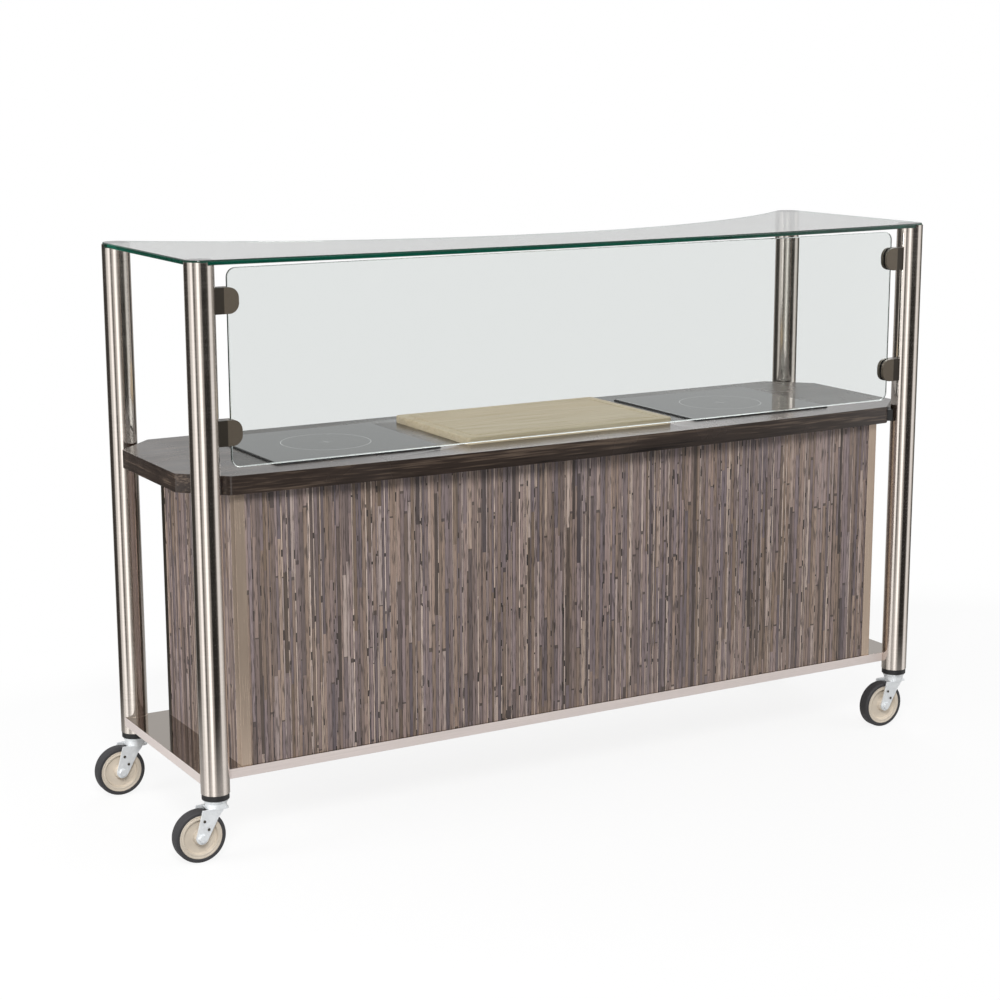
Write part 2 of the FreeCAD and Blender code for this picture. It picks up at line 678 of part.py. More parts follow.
def fascia():
    """Folded sheet with holes for the controls, the inlet and two groups of air slots."""
    inner = CAB_END - FACING - BOARD - TRIM - 0.5
    y0 = rail_back()
    y1 = y0 + FASCIA_SHEET
    sheet = block(-inner, inner, y0, y1, FASCIA_BOTTOM, COUNTER_UNDER - 1)
    fold = block(-inner, inner, y0 - FASCIA_FOLD, y1, FASCIA_BOTTOM, FASCIA_BOTTOM + FASCIA_SHEET)
    divider_room = block(-DIVIDER / 2 - 1, DIVIDER / 2 + 1, y0 - FASCIA_FOLD - 1, y0,
                         FASCIA_BOTTOM - 1, FASCIA_BOTTOM + 5)
    sheet = sheet.fuse(fold).cut(divider_room)
    for sx in (-1, 1):
        sheet = sheet.cut(rod(SHAFT_R + 1, 20, V(sx * KNOB_X, y0 - 5, CONTROL_Z), V(0, 1, 0)))
        sheet = sheet.cut(rod(4.0, 20, V(sx * KNOB_X, y0 - 5, CONTROL_Z + LAMP_UP), V(0, 1, 0)))
        for i in range(SLOT_COUNT):
            x = sx * SLOT_GROUP_X + SLOT_PITCH * (i - (SLOT_COUNT - 1) / 2)
            sheet = sheet.cut(block(x - SLOT_WIDE / 2, x + SLOT_WIDE / 2, y0 - 5, y1 + 5,
                                    CONTROL_Z - SLOT_TALL / 2, CONTROL_Z + SLOT_TALL / 2))
    sheet = sheet.cut(block(SWITCH_X - SWITCH_WIDE / 2, SWITCH_X + SWITCH_WIDE / 2, y0 - 5, y1 + 5,
                            CONTROL_Z - SWITCH_TALL / 2, CONTROL_Z + SWITCH_TALL / 2))
    sheet = sheet.cut(rod(INLET_R, 20, V(INLET_X, y0 - 5, CONTROL_Z), V(0, 1, 0)))
    screws = []
    for x in fascia_screw_places():
        seat = V(x, y1, COUNTER_UNDER - RAIL / 2)
        sheet = sheet.cut(rod(SCREW_R, 10, seat + V(0, 2, 0), V(0, -1, 0)))
        screws.append(rod(SCREW_R, 12, seat, V(0, -1, 0)).fuse(rod(SCREW_R + 2, 2.5, seat, V(0, 1, 0))))
    return sheet.removeSplitter(), screws


def knob(sx):
    """Knob with a pointer rib and its shaft, on the operator's side."""
    y0 = rail_back() + FASCIA_SHEET + KNOB_GAP
    centre = V(sx * KNOB_X, y0, CONTROL_Z)
    body = rod(KNOB_R, KNOB_TALL, centre, V(0, 1, 0))
    rim = [e for e in body.Edges if e.BoundBox.YLength < 0.01 and e.BoundBox.YMin > y0 + 1]
    body = body.makeFillet(3.0, rim)
    grip = block(centre.x - KNOB_GRIP / 2, centre.x + KNOB_GRIP / 2, y0 + 8, y0 + KNOB_TALL + 1,
                 CONTROL_Z - KNOB_R - 1, CONTROL_Z + KNOB_R + 1)
    sides = rod(KNOB_R + 2, KNOB_TALL, centre + V(0, 10, 0), V(0, 1, 0)).cut(grip)
    keep = rod(KNOB_R - 9, KNOB_TALL, centre + V(0, 10, 0), V(0, 1, 0))
    body = body.cut(sides.cut(keep.common(grip)))
    return body.fuse(rod(SHAFT_R, KNOB_GAP + FASCIA_SHEET + 14, centre, V(0, -1, 0))).removeSplitter()


def control_units():
    """Knob units and the switch housing behind the fascia, with their lamps."""
    y1 = rail_back()
    units = []
    lamps = []
    for sx in (-1, 1):
        unit = block(sx * KNOB_X - 16, sx * KNOB_X + 16, y1 - 24, y1, CONTROL_Z - 16, CONTROL_Z + 16)
        units.append(unit.cut(rod(SHAFT_R + RUNNING_FIT, 16, V(sx * KNOB_X, y1, CONTROL_Z), V(0, -1, 0))))
        lamp = rod(4.0, 8.0, V(sx * KNOB_X, y1 - 6.5, CONTROL_Z + LAMP_UP), V(0, 1, 0))
        lens = rod(5.5, 2.0, V(sx * KNOB_X, y1 + FASCIA_SHEET, CONTROL_Z + LAMP_UP), V(0, 1, 0))
        lamps.append(lamp.fuse(lens))
    w = SWITCH_WIDE / 2
    t = SWITCH_TALL / 2
    y2 = y1 + FASCIA_SHEET
    house = block(SWITCH_X - w, SWITCH_X + w, y1 - 26, y2 + 2, CONTROL_Z - t, CONTROL_Z + t)
    lip = SWITCH_LIP
    house = house.fuse(block(SWITCH_X - w - lip, SWITCH_X + w + lip, y2, y2 + 2,
                             CONTROL_Z - t - lip, CONTROL_Z + t + lip))
    house = house.cut(block(SWITCH_X - w + lip, SWITCH_X + w - lip, y1 - 14, y2 + 3,
                            CONTROL_Z - t + lip, CONTROL_Z + t - lip))
    pivot = V(SWITCH_X - w + 1, switch_pivot_y(), CONTROL_Z)
    house = house.cut(rod(SWITCH_PIVOT_R, SWITCH_WIDE - 2, pivot, V(1, 0, 0)))
    units.append(house.removeSplitter())
    return units, lamps


def switch_pivot_y():
    return rail_back() - 2.0


def rocker():
    """Rocker with a shallow hollow face and two pivot stubs, at rest in the off position."""
    y = switch_pivot_y()
    w = SWITCH_WIDE / 2 - 3.5
    t = SWITCH_TALL / 2 - 4.5
    face = y + 8.0
    profile = [(y - 4, -t + 3), (y - 4, t - 3), (face, t), (face - 2.2, 0), (face, -t)]
    points = [V(SWITCH_X - w, py, CONTROL_Z + pz) for py, pz in profile]
    body = plate(points, V(2 * w, 0, 0))
    stub = V(SWITCH_X - SWITCH_WIDE / 2 + 1.3, y, CONTROL_Z)
    body = body.fuse(rod(SWITCH_PIVOT_R - RUNNING_FIT, SWITCH_WIDE - 2.6, stub, V(1, 0, 0)))
    return turned(body.removeSplitter(), -SWITCH_TILT, V(SWITCH_X, y, CONTROL_Z), V(1, 0, 0))


def power_inlet():
    """Panel inlet with a shroud round its pins; the pins are separate solids."""
    y2 = rail_back() + FASCIA_SHEET
    centre = V(INLET_X, y2, CONTROL_Z)
    out = V(0, 1, 0)
    house = block(centre.x - 36, centre.x + 36, y2, y2 + 4, CONTROL_Z - 36, CONTROL_Z + 36)
    house = house.makeFillet(6.0, [e for e in house.Edges if abs(e.tangentAt(e.FirstParameter).y) > 0.99])
    house = house.fuse(rod(INLET_R + 2, 26, centre, out))
    house = house.fuse(rod(INLET_R, 46, centre - V(0, 44, 0), out))
    house = house.cut(rod(INLET_R - 2, 40, centre - V(0, INLET_FLOOR, 0), out))
    pins = []
    for i in range(3):
        a = math.radians(90 + 120 * i)
        aside = V(math.cos(a), 0, math.sin(a)) * INLET_PIN_CIRCLE_R
        foot = centre + aside + V(0, 0.5 - INLET_FLOOR, 0)
        root = rod(INLET_PIN_ROOT_R, 18.5, foot, V(0, -1, 0))
        pins.append(rod(INLET_PIN_R, 27.5, foot, out).fuse(root))
        house = house.cut(root)
    house = house.cut(rod(CONDUIT_R, 14, centre - V(0, 44, 0), out))
    return [house.removeSplitter()] + pins


def wiring():
    """Terminal box on the front board, conduits to hobs and inlet, and control cables."""
    y0 = -CAB_FRONT + FACING + BOARD
    y1 = y0 + BOX_DEEP
    s = 2.0
    box = block(BOX_X0, BOX_X1, y0, y1, BOX_Z0, BOX_Z1)
    box = box.cut(block(BOX_X0 + s, BOX_X1 - s, y0 + s, y1 - s, BOX_Z0 + s, BOX_Z1 - s))
    floor = COUNTER_TOP - HOB_TRAY_TALL + TRAY_SHEET
    y = conduit_y()
    z = CONDUIT_Z
    left = bent_pipe(CONDUIT_R, V(BOX_X0 + s, y, z), V(-HOB_X, y, z), V(-HOB_X, y, floor), CONDUIT_BEND)
    right = bent_pipe(CONDUIT_R, V(BOX_X1 - s, y, z), V(HOB_X, y, z), V(HOB_X, y, floor), CONDUIT_BEND)
    inlet_back = V(INLET_X, rail_back() + FASCIA_SHEET - 30, CONTROL_Z)
    supply_y = y0 + 30
    low = V(INLET_X, supply_y, CONTROL_Z)
    supply = bent_pipe(CONDUIT_R, inlet_back, low, V(BOX_X1 - s, supply_y, CONTROL_Z), CONDUIT_BEND)
    conduits = [left, right, supply]
    for pipe in conduits:
        box = box.cut(pipe)
    cables = []
    for sx in (-1, 1):
        a = V(sx * KNOB_X, rail_back() - 24, CONTROL_Z)
        b = V(sx * KNOB_X, cable_y(), floor)
        cables.append(bent_pipe(CABLE_R, a, V(sx * KNOB_X, cable_y(), CONTROL_Z), b, 16.0))
    a = V(SWITCH_X, rail_back() - 26, CONTROL_Z)
    cables.append(rod(CABLE_R, a.y - (y1 - s), a, V(0, -1, 0)))
    box = box.cut(rod(CABLE_R, s, V(SWITCH_X, y1, CONTROL_Z), V(0, -1, 0)))
    return box, conduits, cables


def insert_and_stem(sx, sy):
    """Black insert in the post's lower end, and the fixed stem with its cap and kingpin."""
    c = V(sx * PX, sy * PY, 0)
    collar_z = POST_BOTTOM - COLLAR_TALL
    insert = rod(POST_BORE_R, INSERT_UP, c + V(0, 0, POST_BOTTOM))
    insert = insert.fuse(rod(COLLAR_R, COLLAR_TALL, c + V(0, 0, collar_z)))
    insert = insert.cut(rod(STEM_R, INSERT_UP + COLLAR_TALL - 10, c + V(0, 0, collar_z)))
    stem = rod(STEM_R, INSERT_UP + COLLAR_TALL - 10, c + V(0, 0, collar_z))
    stem = stem.fuse(rod(CAP_R, CAP_TALL, c + V(0, 0, collar_z - CAP_TALL)))
    pin_under = CROWN_UNDER - SWIVEL_GAP
    stem = stem.fuse(rod(KINGPIN_R, collar_z - pin_under, c + V(0, 0, pin_under)))
    stem = stem.fuse(rod(KINGPIN_R + 4, 3.5, c + V(0, 0, pin_under - 3.5)))
    return insert.removeSplitter(), stem.removeSplitter()


def touch(centre, r, point, side):
    """Where a line from a point touches a circle about Y; side is 1 or -1."""
    towards = math.atan2(point.z - centre.z, point.x - centre.x)
    a = towards + side * math.acos(r / (point - centre).Length)
    return centre + V(r * math.cos(a), 0, r * math.sin(a))


def fork(sx, sy):
    """Pressed fork: crown with a raised ball track, and two broad legs that narrow towards the axle."""
    cap_under = POST_BOTTOM - COLLAR_TALL - CAP_TALL
    half = FORK_INSIDE + FORK_SHEET
    long = CROWN_HALF_LONG
    crown = block(-long, long, -half, half, CROWN_UNDER, CROWN_UNDER + CROWN_THICK)
    crown = round_upright(crown, 8.0)
    track_tall = cap_under - SWIVEL_GAP - CROWN_UNDER
    foot = V(0, 0, CROWN_UNDER)
    track = rod(TRACK_R, track_tall, foot).cut(rod(TRACK_BORE_R, track_tall, foot))
    upper = [e for e in track.Edges if abs(e.BoundBox.ZMin - CROWN_UNDER - track_tall) < 0.01]
    track = track.makeFillet(3.0, [e for e in upper if e.BoundBox.XLength > 2 * TRACK_BORE_R + 1])
    body = crown.fuse(track)
    for side in (-1, 1):
        y = side * FORK_INSIDE
        axle = V(-CASTER_TRAIL, y, WHEEL_R)
        top = CROWN_UNDER + LEG_UP
        back = V(-LEG_BACK, y, top)
        bend = V(-LEG_BEND_BACK, y, top - LEG_BEND_DOWN)
        points = [back, V(LEG_AHEAD, y, top), V(LEG_AHEAD - 1, y, top - LEG_BEND_DOWN / 3), bend,
                  touch(axle, BOSS_R, bend, -1), touch(axle, BOSS_R, back, 1)]
        leg = plate(points, V(0, side * FORK_SHEET, 0))
        leg = leg.fuse(rod(BOSS_R, FORK_SHEET, axle, V(0, side, 0)))
        leg = leg.cut(rod(AXLE_R, FORK_SHEET + 2, axle - V(0, side, 0), V(0, side, 0)))
        body = body.fuse(leg)
    body = body.cut(rod(KINGPIN_R + RUNNING_FIT, 60, V(0, 0, 100)))
    body = body.removeSplitter()
    body.translate(V(sx * PX, sy * PY, 0))
    return body


def axle(sx, sy):
    """Axle bolt with its nut, and the bush that the wheel turns on."""
    c = V(sx * PX - CASTER_TRAIL, sy * PY, WHEEL_R)
    half = FORK_INSIDE + FORK_SHEET
    bolt = rod(AXLE_R, 2 * half + 10, c - V(0, half, 0), V(0, 1, 0))
    bolt = bolt.fuse(hexagon(NUT_ACROSS, 6.5, c - V(0, half + 6.5, 0), V(0, 1, 0))).removeSplitter()
    nut = hexagon(NUT_ACROSS, 9.0, c + V(0, half, 0), V(0, 1, 0))
    nut = nut.cut(rod(AXLE_R, 30, c + V(0, half - 5, 0), V(0, 1, 0)))
    bush = rod(BUSH_R, 2 * FORK_INSIDE, c - V(0, FORK_INSIDE, 0), V(0, 1, 0))
    bush = bush.cut(rod(AXLE_R, 2 * FORK_INSIDE, c - V(0, FORK_INSIDE, 0), V(0, 1, 0)))
    return [bolt, nut, bush]


def lathe_y(profile, centre):
    """Turn a closed (radius, y) profile about an axis along Y."""
    points = [V(r, y, 0) for r, y in profile]
    face = Part.Face(Part.makePolygon(points + [points[0]]))
    solid = face.revolve(V(0, 0, 0), V(0, 1, 0), 360)
    solid.translate(centre)
    return solid


def wheel(sx, sy):
    """Moulded core with a dished web, and the tyre round it."""
    c = V(sx * PX - CASTER_TRAIL, sy * PY, WHEEL_R)
    hub = FORK_INSIDE - 0.5
    rim = WHEEL_R - TREAD
    bore = BUSH_R + RUNNING_FIT
    h = WHEEL_WIDE / 2 - 1
    profile = [(bore, -hub), (17, -hub), (19, -10), (44, -8), (46, -h), (rim, -h),
               (rim, h), (46, h), (44, 8), (19, 10), (17, hub), (bore, hub)]
    core = lathe_y(profile, c)
    k = WHEEL_WIDE / 2
    tread = [(rim, -k), (WHEEL_R - 3.0, -k), (WHEEL_R - 0.8, -k + 2.5), (WHEEL_R, -k + 6), (WHEEL_R, k - 6),
             (WHEEL_R - 0.8, k - 2.5), (WHEEL_R - 3.0, k), (rim, k)]
    return core, lathe_y(tread, c)


def main():
    os.makedirs("parts", exist_ok=True)
    save("posts", [post(sx, sy) for sx, sy in CORNERS.values()])
    plugs, pads = plugs_and_pads()
    save("post_top_plugs", plugs)
    save("glass_pads", pads)
    save("canopy_glass", canopy())
    save("front_glass", front_glass())

    bodies, covers, gaskets, screws, nuts = [], [], [], [], []
    for level in (CLAMP_LOW, CLAMP_HIGH):
        body, cover, pair, jaw_screws, post_screw, nut = clamp(level)
        for flip in (lambda s: s, mirror_x):
            bodies.append(flip(body))
            covers.append(flip(cover))
            gaskets += [flip(g) for g in pair]
            screws += [flip(s) for s in jaw_screws + [post_screw]]
            nuts.append(flip(nut))
    saddles, studs, stud_nuts = corner_ties()
    save("clamp_bodies", bodies)
    save("clamp_covers", covers)
    save("clamp_gaskets", gaskets)
    save("clamp_screws", screws)
    save("weld_nuts", nuts + stud_nuts)
    save("post_saddles", saddles)
    save("counter_studs", studs)
    save("counter_top", counter())
    save("base_shelf", base_shelf())
    for name, shapes in cabinet().items():
        save(name, shapes)
    save("top_frame", top_frame())

    left = hob(-1)
    right = hob(1)
    for i, name in enumerate(("hob_glasses", "hob_trays", "induction_coils", "power_boards")):
        save(name, [left[i], right[i]])
    save("fan_rotor_left", left[4])
    save("fan_rotor_right", right[4])
    save("cutting_board", cutting_board())

    sheet, fixing = fascia()
    save("control_fascia", sheet)
    save("fascia_screws", fixing)
    save("knob_left", knob(-1))
    save("knob_right", knob(1))
    units, lamps = control_units()
    save("control_units", units)
    save("indicator_lamps", lamps)
    save("switch_rocker", rocker())
    save("power_inlet", power_inlet())
    box, conduits, cables = wiring()
    save("terminal_box", box)
    save("conduits", conduits)
    save("control_cables", cables)

    inserts, stems = [], []
    for name, (sx, sy) in CORNERS.items():
        insert, stem = insert_and_stem(sx, sy)
        inserts.append(insert)
        stems.append(stem)
        save("fork_" + name, fork(sx, sy))
        save("axle_" + name, axle(sx, sy))
        core, tread = wheel(sx, sy)
        save("wheel_core_" + name, core)
        save("tyre_" + name, tread)
    save("caster_inserts", inserts)
    save("caster_stems", stems)


main()
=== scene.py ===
import json
import math
from functools import partialmethod

import bmesh
import bpy
import numpy as np
from bpy.props import FloatProperty, FloatVectorProperty, IntProperty, PointerProperty
from mathutils import Matrix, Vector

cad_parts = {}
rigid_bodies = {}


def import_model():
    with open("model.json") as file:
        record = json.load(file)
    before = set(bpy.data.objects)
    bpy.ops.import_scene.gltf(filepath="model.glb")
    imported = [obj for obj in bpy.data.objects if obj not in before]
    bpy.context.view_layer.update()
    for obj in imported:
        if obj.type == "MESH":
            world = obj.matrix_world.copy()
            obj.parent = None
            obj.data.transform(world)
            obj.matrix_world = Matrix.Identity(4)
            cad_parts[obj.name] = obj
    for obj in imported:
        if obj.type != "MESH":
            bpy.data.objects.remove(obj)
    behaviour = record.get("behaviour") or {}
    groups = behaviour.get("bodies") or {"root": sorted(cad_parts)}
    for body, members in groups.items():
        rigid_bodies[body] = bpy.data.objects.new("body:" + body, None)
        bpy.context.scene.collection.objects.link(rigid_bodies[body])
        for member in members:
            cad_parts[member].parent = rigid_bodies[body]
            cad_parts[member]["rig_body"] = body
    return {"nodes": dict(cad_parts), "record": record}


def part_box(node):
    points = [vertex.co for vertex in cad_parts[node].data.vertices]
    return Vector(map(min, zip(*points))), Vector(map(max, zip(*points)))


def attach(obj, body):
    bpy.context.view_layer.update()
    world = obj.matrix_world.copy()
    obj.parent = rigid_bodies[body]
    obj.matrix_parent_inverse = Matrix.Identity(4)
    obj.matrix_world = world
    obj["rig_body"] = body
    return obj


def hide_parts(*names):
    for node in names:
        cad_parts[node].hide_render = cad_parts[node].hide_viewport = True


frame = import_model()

bl_info = {
    "name": "Electric cooking cart",
    "version": (1, 0, 0),
    "blender": (4, 5, 0),
    "location": "3D View > Sidebar > Cart",
    "description": "Dresses the solids of a mobile cooking counter with detailed pieces and finishes",
    "category": "Object",
}


def box_of(node):
    """Lower corner, upper corner, middle and half size of a solid's box."""
    low, high = (np.array(corner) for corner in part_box(node))
    return low, high, (low + high) / 2, (high - low) / 2


NODES = frame["nodes"]
SLOT_OF = {part["node"]: part["material_slot"] for part in frame["record"]["subparts"]}
CORNERS = ("left_front", "right_front", "left_back", "right_back")
TURN = 2 * math.pi
HALF_TURN = TURN / 2
QUARTER = TURN / 4
POST_R = 0.0345
MIDDLE, POSTS_HALF = box_of("posts")[2:]
POST_X, POST_Y = (float(half) - POST_R for half in POSTS_HALF[:2])
FACING_THICK = 0.004
CANOPY_WAIST = -0.065       # y of the deepest point of the hollow back edge, from the posts' middle
FRONT_GLASS_CORNER = 0.022
HOB_HALF = 0.22             # half the width of one hob
HOB_CORNER = 0.008
HOB_ARRIS = 0.0018
COIL_R = 0.115
EDGE_ANGLE = math.radians(38.0)     # sharper edges than this are rounded
FLAT_ANGLE = math.radians(0.6)      # faces that differ by less are joined
MERGE = 2e-6
BLACK = (0.0, 0.0, 0.0, 1.0)
WHITE = (1.0, 1.0, 1.0, 1.0)

# what metal and glass mirror: angle from the camera's side in degrees, and brightness
SURROUND_BANDS = (
    (-180, 0.10), (-165, 0.50), (-148, 0.50), (-136, 0.05), (-98, 0.05), (-88, 0.12), (-80, 0.75),
    (-66, 0.90), (-56, 1.5), (-46, 1.5), (-38, 0.16), (-30, 0.16), (-24, 0.58), (-16, 0.62), (-9, 1.7),
    (4, 1.7), (10, 0.52), (17, 0.45), (25, 0.03), (58, 0.03), (70, 0.13), (79, 1.0), (102, 1.0),
    (110, 0.45), (120, 0.36), (128, 0.05), (144, 0.05), (154, 0.40), (168, 0.40), (180, 0.10))
SURROUND_BRIGHTEST = 1.7
SURROUND_UPPER = 0.43

# place, aim and size of each lamp
LAMPS = {
    "key": ((-2.6, -4.2, 4.0), (0.0, 0.0, 0.7), 1.5),
    "fill": ((3.6, -2.6, 2.6), (0.0, 0.0, 0.7), 2.6),
    "back": ((2.8, 3.6, 3.6), (0.0, 0.0, 0.7), 2.6),
    "end": ((-4.4, 0.2, 1.5), (-1.0, 0.0, 0.5), 1.6),
}


def tone(red, green, blue):
    """Colour as seen on a screen, 0 to 255, turned into the linear values that shaders use."""
    c = np.array([red, green, blue]) / 255.0
    c = np.where(c <= 0.04045, c / 12.92, ((c + 0.055) / 1.055) ** 2.4)
    return (*c.tolist(), 1.0)


def scaled(value, by):
    """A colour made darker or lighter."""
    return (value[0] * by, value[1] * by, value[2] * by, 1.0)


# settings


def length(label, text, value):
    return FloatProperty(name=label, description=text, default=value, min=0.0, unit="LENGTH")


def angle(label, text, degrees):
    return FloatProperty(name=label, description=text, default=math.radians(degrees), subtype="ANGLE")


def watts(label, text, value):
    return FloatProperty(name=label, description=text, default=value, min=0.0, unit="POWER")


def colour(label, text, red, green, blue):
    return FloatVectorProperty(name=label, description=text, default=tone(red, green, blue),
                               size=4, min=0.0, max=1.0, subtype="COLOR")


class CartSizes(bpy.types.PropertyGroup):
    """Sizes of the pieces that are made here."""
    strip_wide: length("Strip width", "Mean width of one strip of the facing", 0.0058)
    strip_groove: length("Strip groove", "Deepest groove between two strips", 0.0010)
    strip_length: length("Strip length", "Mean length of one strip before its tone changes", 0.34)
    glass_arris: length("Glass arris", "Radius of the polished edges of the glass", 0.0022)
    counter_round: length("Counter edge", "Rounding of the counter's edges", 0.0025)
    metal_round: length("Metal edge", "Rounding of the edges of metal pieces", 0.0012)
    clamp_round: length("Clamp edge", "Rounding of the faces of the glass clamps", 0.0026)
    sheet_round: length("Sheet edge", "Rounding of folded sheet edges", 0.0009)
    fork_round: length("Fork edge", "Rounding of the edges of the caster forks", 0.001)
    axle_round: length("Axle edge", "Rounding of the edges of the axles", 0.0008)
    seal_wide: length("Hob seal", "Width of the sealing bead round a hob", 0.003)
    tick_long: length("Dial tick", "Length of a printed tick round a knob", 0.006)
    turned_steps: IntProperty(name="Turned steps", description="Steps round a turned piece",
                              default=96, min=12)


class CartColours(bpy.types.PropertyGroup):
    """Colours of the finishes."""
    strip_dark: colour("Strip, dark", "Darkest strips and marks", 54, 45, 41)
    strip_mid: colour("Strip, middle", "Most of the strips", 132, 115, 110)
    strip_light: colour("Strip, light", "Palest strips", 180, 163, 152)
    strip_tan: colour("Strip, tan", "Warm strips", 160, 136, 112)
    strip_cool: colour("Strip, cool", "Grey strips", 122, 112, 122)
    counter_dark: colour("Counter, dark", "Dark grain of the counter", 24, 19, 17)
    counter_mid: colour("Counter, middle", "Main tone of the counter", 54, 45, 40)
    counter_light: colour("Counter, light", "Pale grain of the counter", 98, 84, 73)
    steel: colour("Post steel", "Brushed tube", 220, 211, 203)
    polished: colour("Polished steel", "Top of the base shelf", 168, 159, 150)
    base_edge: colour("Base edge", "Satin edges of the base shelf", 236, 224, 219)
    trim: colour("Corner trim", "Warm metal trim", 224, 202, 182)
    zinc: colour("Zinc", "Forks, axles and screws", 242, 245, 247)
    clamp: colour("Clamp", "Dark satin metal", 104, 95, 83)
    glass_face: colour("Glass face", "Tint through the glass", 233, 236, 235)
    glass_edge: colour("Glass edge", "Tint of the edges", 10, 76, 60)
    # painted glow: light given off by the glass edges, which are no lamp
    glass_painted_glow: colour("Glass glow", "Light that leaves through the edges", 2, 50, 38)
    hob: colour("Hob", "Black glass ceramic", 9, 9, 10)
    hob_speck: colour("Hob specks", "Fine specks in the black glass", 40, 41, 43)
    core: colour("Wheel core", "Moulded wheel", 223, 211, 194)
    tread: colour("Tyre", "Tyre", 54, 53, 55)
    wood: colour("Board", "Main tone of the cutting board", 224, 208, 182)
    wood_dark: colour("Board grain", "Grain of the cutting board", 198, 178, 148)
    carcass: colour("Carcass", "Cabinet boards", 170, 159, 147)
    paint: colour("Frame paint", "Powder coat on the tube frame", 44, 44, 46)
    black: colour("Black plastic", "Moulded black pieces", 24, 24, 25)
    inlet: colour("Inlet plastic", "Moulded power inlet", 46, 47, 50)
    mark: colour("Marks", "Printed marks", 205, 206, 205)
    red: colour("Red lens", "Lamps and switch", 176, 18, 16)
    copper: colour("Copper", "Coil windings", 184, 110, 66)
    card: colour("Circuit board", "Power boards", 32, 84, 52)


class CartStage(bpy.types.PropertyGroup):
    """Camera and light."""
    camera_place: FloatVectorProperty(name="Camera", description="Where the camera stands", size=3,
                                      default=(-2.74135, -4.64935, 1.8435), subtype="XYZ", unit="LENGTH")
    camera_yaw: angle("Yaw", "Turn of the camera from +Y towards +X", 29.816)
    camera_pitch: angle("Pitch", "Downward tilt of the camera", 11.816)
    camera_roll: angle("Roll", "Roll of the camera", -0.156)
    camera_lens: FloatProperty(name="Lens", description="Focal length in millimetres",
                               default=75.524, min=1.0, unit="CAMERA")
    sky: FloatProperty(name="Ambient", description="Strength of the even light", default=0.42, min=0.0)
    key: watts("Key light", "Power of the main soft light", 205.0)
    fill: watts("Fill light", "Power of the fill light", 34.0)
    back: watts("Back light", "Power of the light on the back", 64.0)
    end: watts("End light", "Power of the light on the left end", 74.0)


# node trees


class Tree:
    """Shorthand for filling one node tree."""

    def __init__(self, tree):
        self.tree = tree
        tree.nodes.clear()

    def add(self, kind, inputs=(), **settings):
        """Adds a shader node; inputs maps a socket's name or number to a value or a node's output."""
        made = self.tree.nodes.new("ShaderNode" + kind)
        for key, value in settings.items():
            setattr(made, key, value)
        for key, value in dict(inputs).items():
            if isinstance(value, bpy.types.NodeSocket):
                self.tree.links.new(value, made.inputs[key])
            else:
                made.inputs[key].default_value = value
        return made

    def math(self, operation, *values):
        return self.add("Math", enumerate(values), operation=operation).outputs[0]

    plus = partialmethod(math, "ADD")
    minus = partialmethod(math, "SUBTRACT")
    times = partialmethod(math, "MULTIPLY")
    over = partialmethod(math, "DIVIDE")
    larger = partialmethod(math, "MAXIMUM")
    smaller = partialmethod(math, "MINIMUM")
    below = partialmethod(math, "LESS_THAN")
    above = partialmethod(math, "GREATER_THAN")
    size = partialmethod(math, "ABSOLUTE")
    floor = partialmethod(math, "FLOOR")
    rest = partialmethod(math, "FRACT")

    def mix(self, share, a, b):
        """Value between a and b."""
        return self.add("Mix", {0: share, 2: a, 3: b}).outputs[0]

    def blend(self, share, a, b, kind="MIX"):
        """Colour between a and b."""
        return self.add("Mix", {0: share, 6: a, 7: b}, data_type="RGBA", blend_type=kind).outputs[2]

    def either(self, share, a, b):
        """Shader between those of two nodes."""
        return self.add("MixShader", {0: share, 1: a.outputs[0], 2: b.outputs[0]})

    def span(self, value, low, high, to_low=0.0, to_high=1.0, **settings):
        """Value carried from one range to another, held at its ends."""
        ends = {0: value, 1: low, 2: high, 3: to_low, 4: to_high}
        return self.add("MapRange", ends, **settings).outputs[0]

    def fade(self, share, start, end):
        """Value that runs from start to end as the share runs from 0 to 1."""
        return self.span(share, 0.0, 1.0, start, end)

    def ramp(self, share, *stops):
        """Colour by a share, through stops of (place, colour)."""
        made = self.add("ValToRGB", {0: share})
        marks = made.color_ramp.elements
        marks[0].position, marks[0].color = stops[0]
        marks[1].position, marks[1].color = stops[-1]
        for place, value in stops[1:-1]:
            marks.new(place).color = value
        return made.outputs[0]

    def shades(self, share, base, low, high):
        """One colour, made darker or lighter from low to high."""
        return self.ramp(share, (0.0, scaled(base, low)), (1.0, scaled(base, high)))

    def parts(self, vector):
        return self.add("SeparateXYZ", {0: vector}).outputs

    def facing(self):
        """The three parts of the surface's direction."""
        return self.parts(self.add("NewGeometry").outputs["Normal"])

    def attribute(self, name):
        return self.add("Attribute", attribute_name=name).outputs["Fac"]

    def dice(self, **number):
        """Random value and colour for a number W, or for the first two parts of a Vector."""
        kind = "1D" if "W" in number else "2D"
        return self.add("TexWhiteNoise", number, noise_dimensions=kind).outputs

    def put(self, group, **values):
        """Places a node group and returns its first output."""
        named = {key.capitalize(): value for key, value in values.items()}
        return self.add("Group", named, node_tree=group).outputs[0]

    def lines(self, stretch, detail, low=0.3, high=0.7, place=None):
        """The shared streaks, with these values."""
        place = self.place if place is None else place
        return self.put(streaks(), vector=place, stretch=stretch, detail=detail, low=low, high=high)

    def patches(self, scale, low=0.0, high=1.0):
        """The shared soft patches, with these values."""
        return self.put(uneven(), vector=self.place, scale=scale, low=low, high=high)

    def bump(self, height, strength, distance):
        return self.add("Bump", {"Height": height, "Strength": strength, "Distance": distance}).outputs[0]

    def wire(self, **links):
        """Links outputs to sockets of the material's Principled shader."""
        for key, value in links.items():
            self.tree.links.new(value, self.shader.inputs[key.replace("_", " ")])

    def show(self, made):
        """Makes the shader of a node the surface of the material."""
        self.tree.links.new(made.outputs[0], self.out.inputs["Surface"])


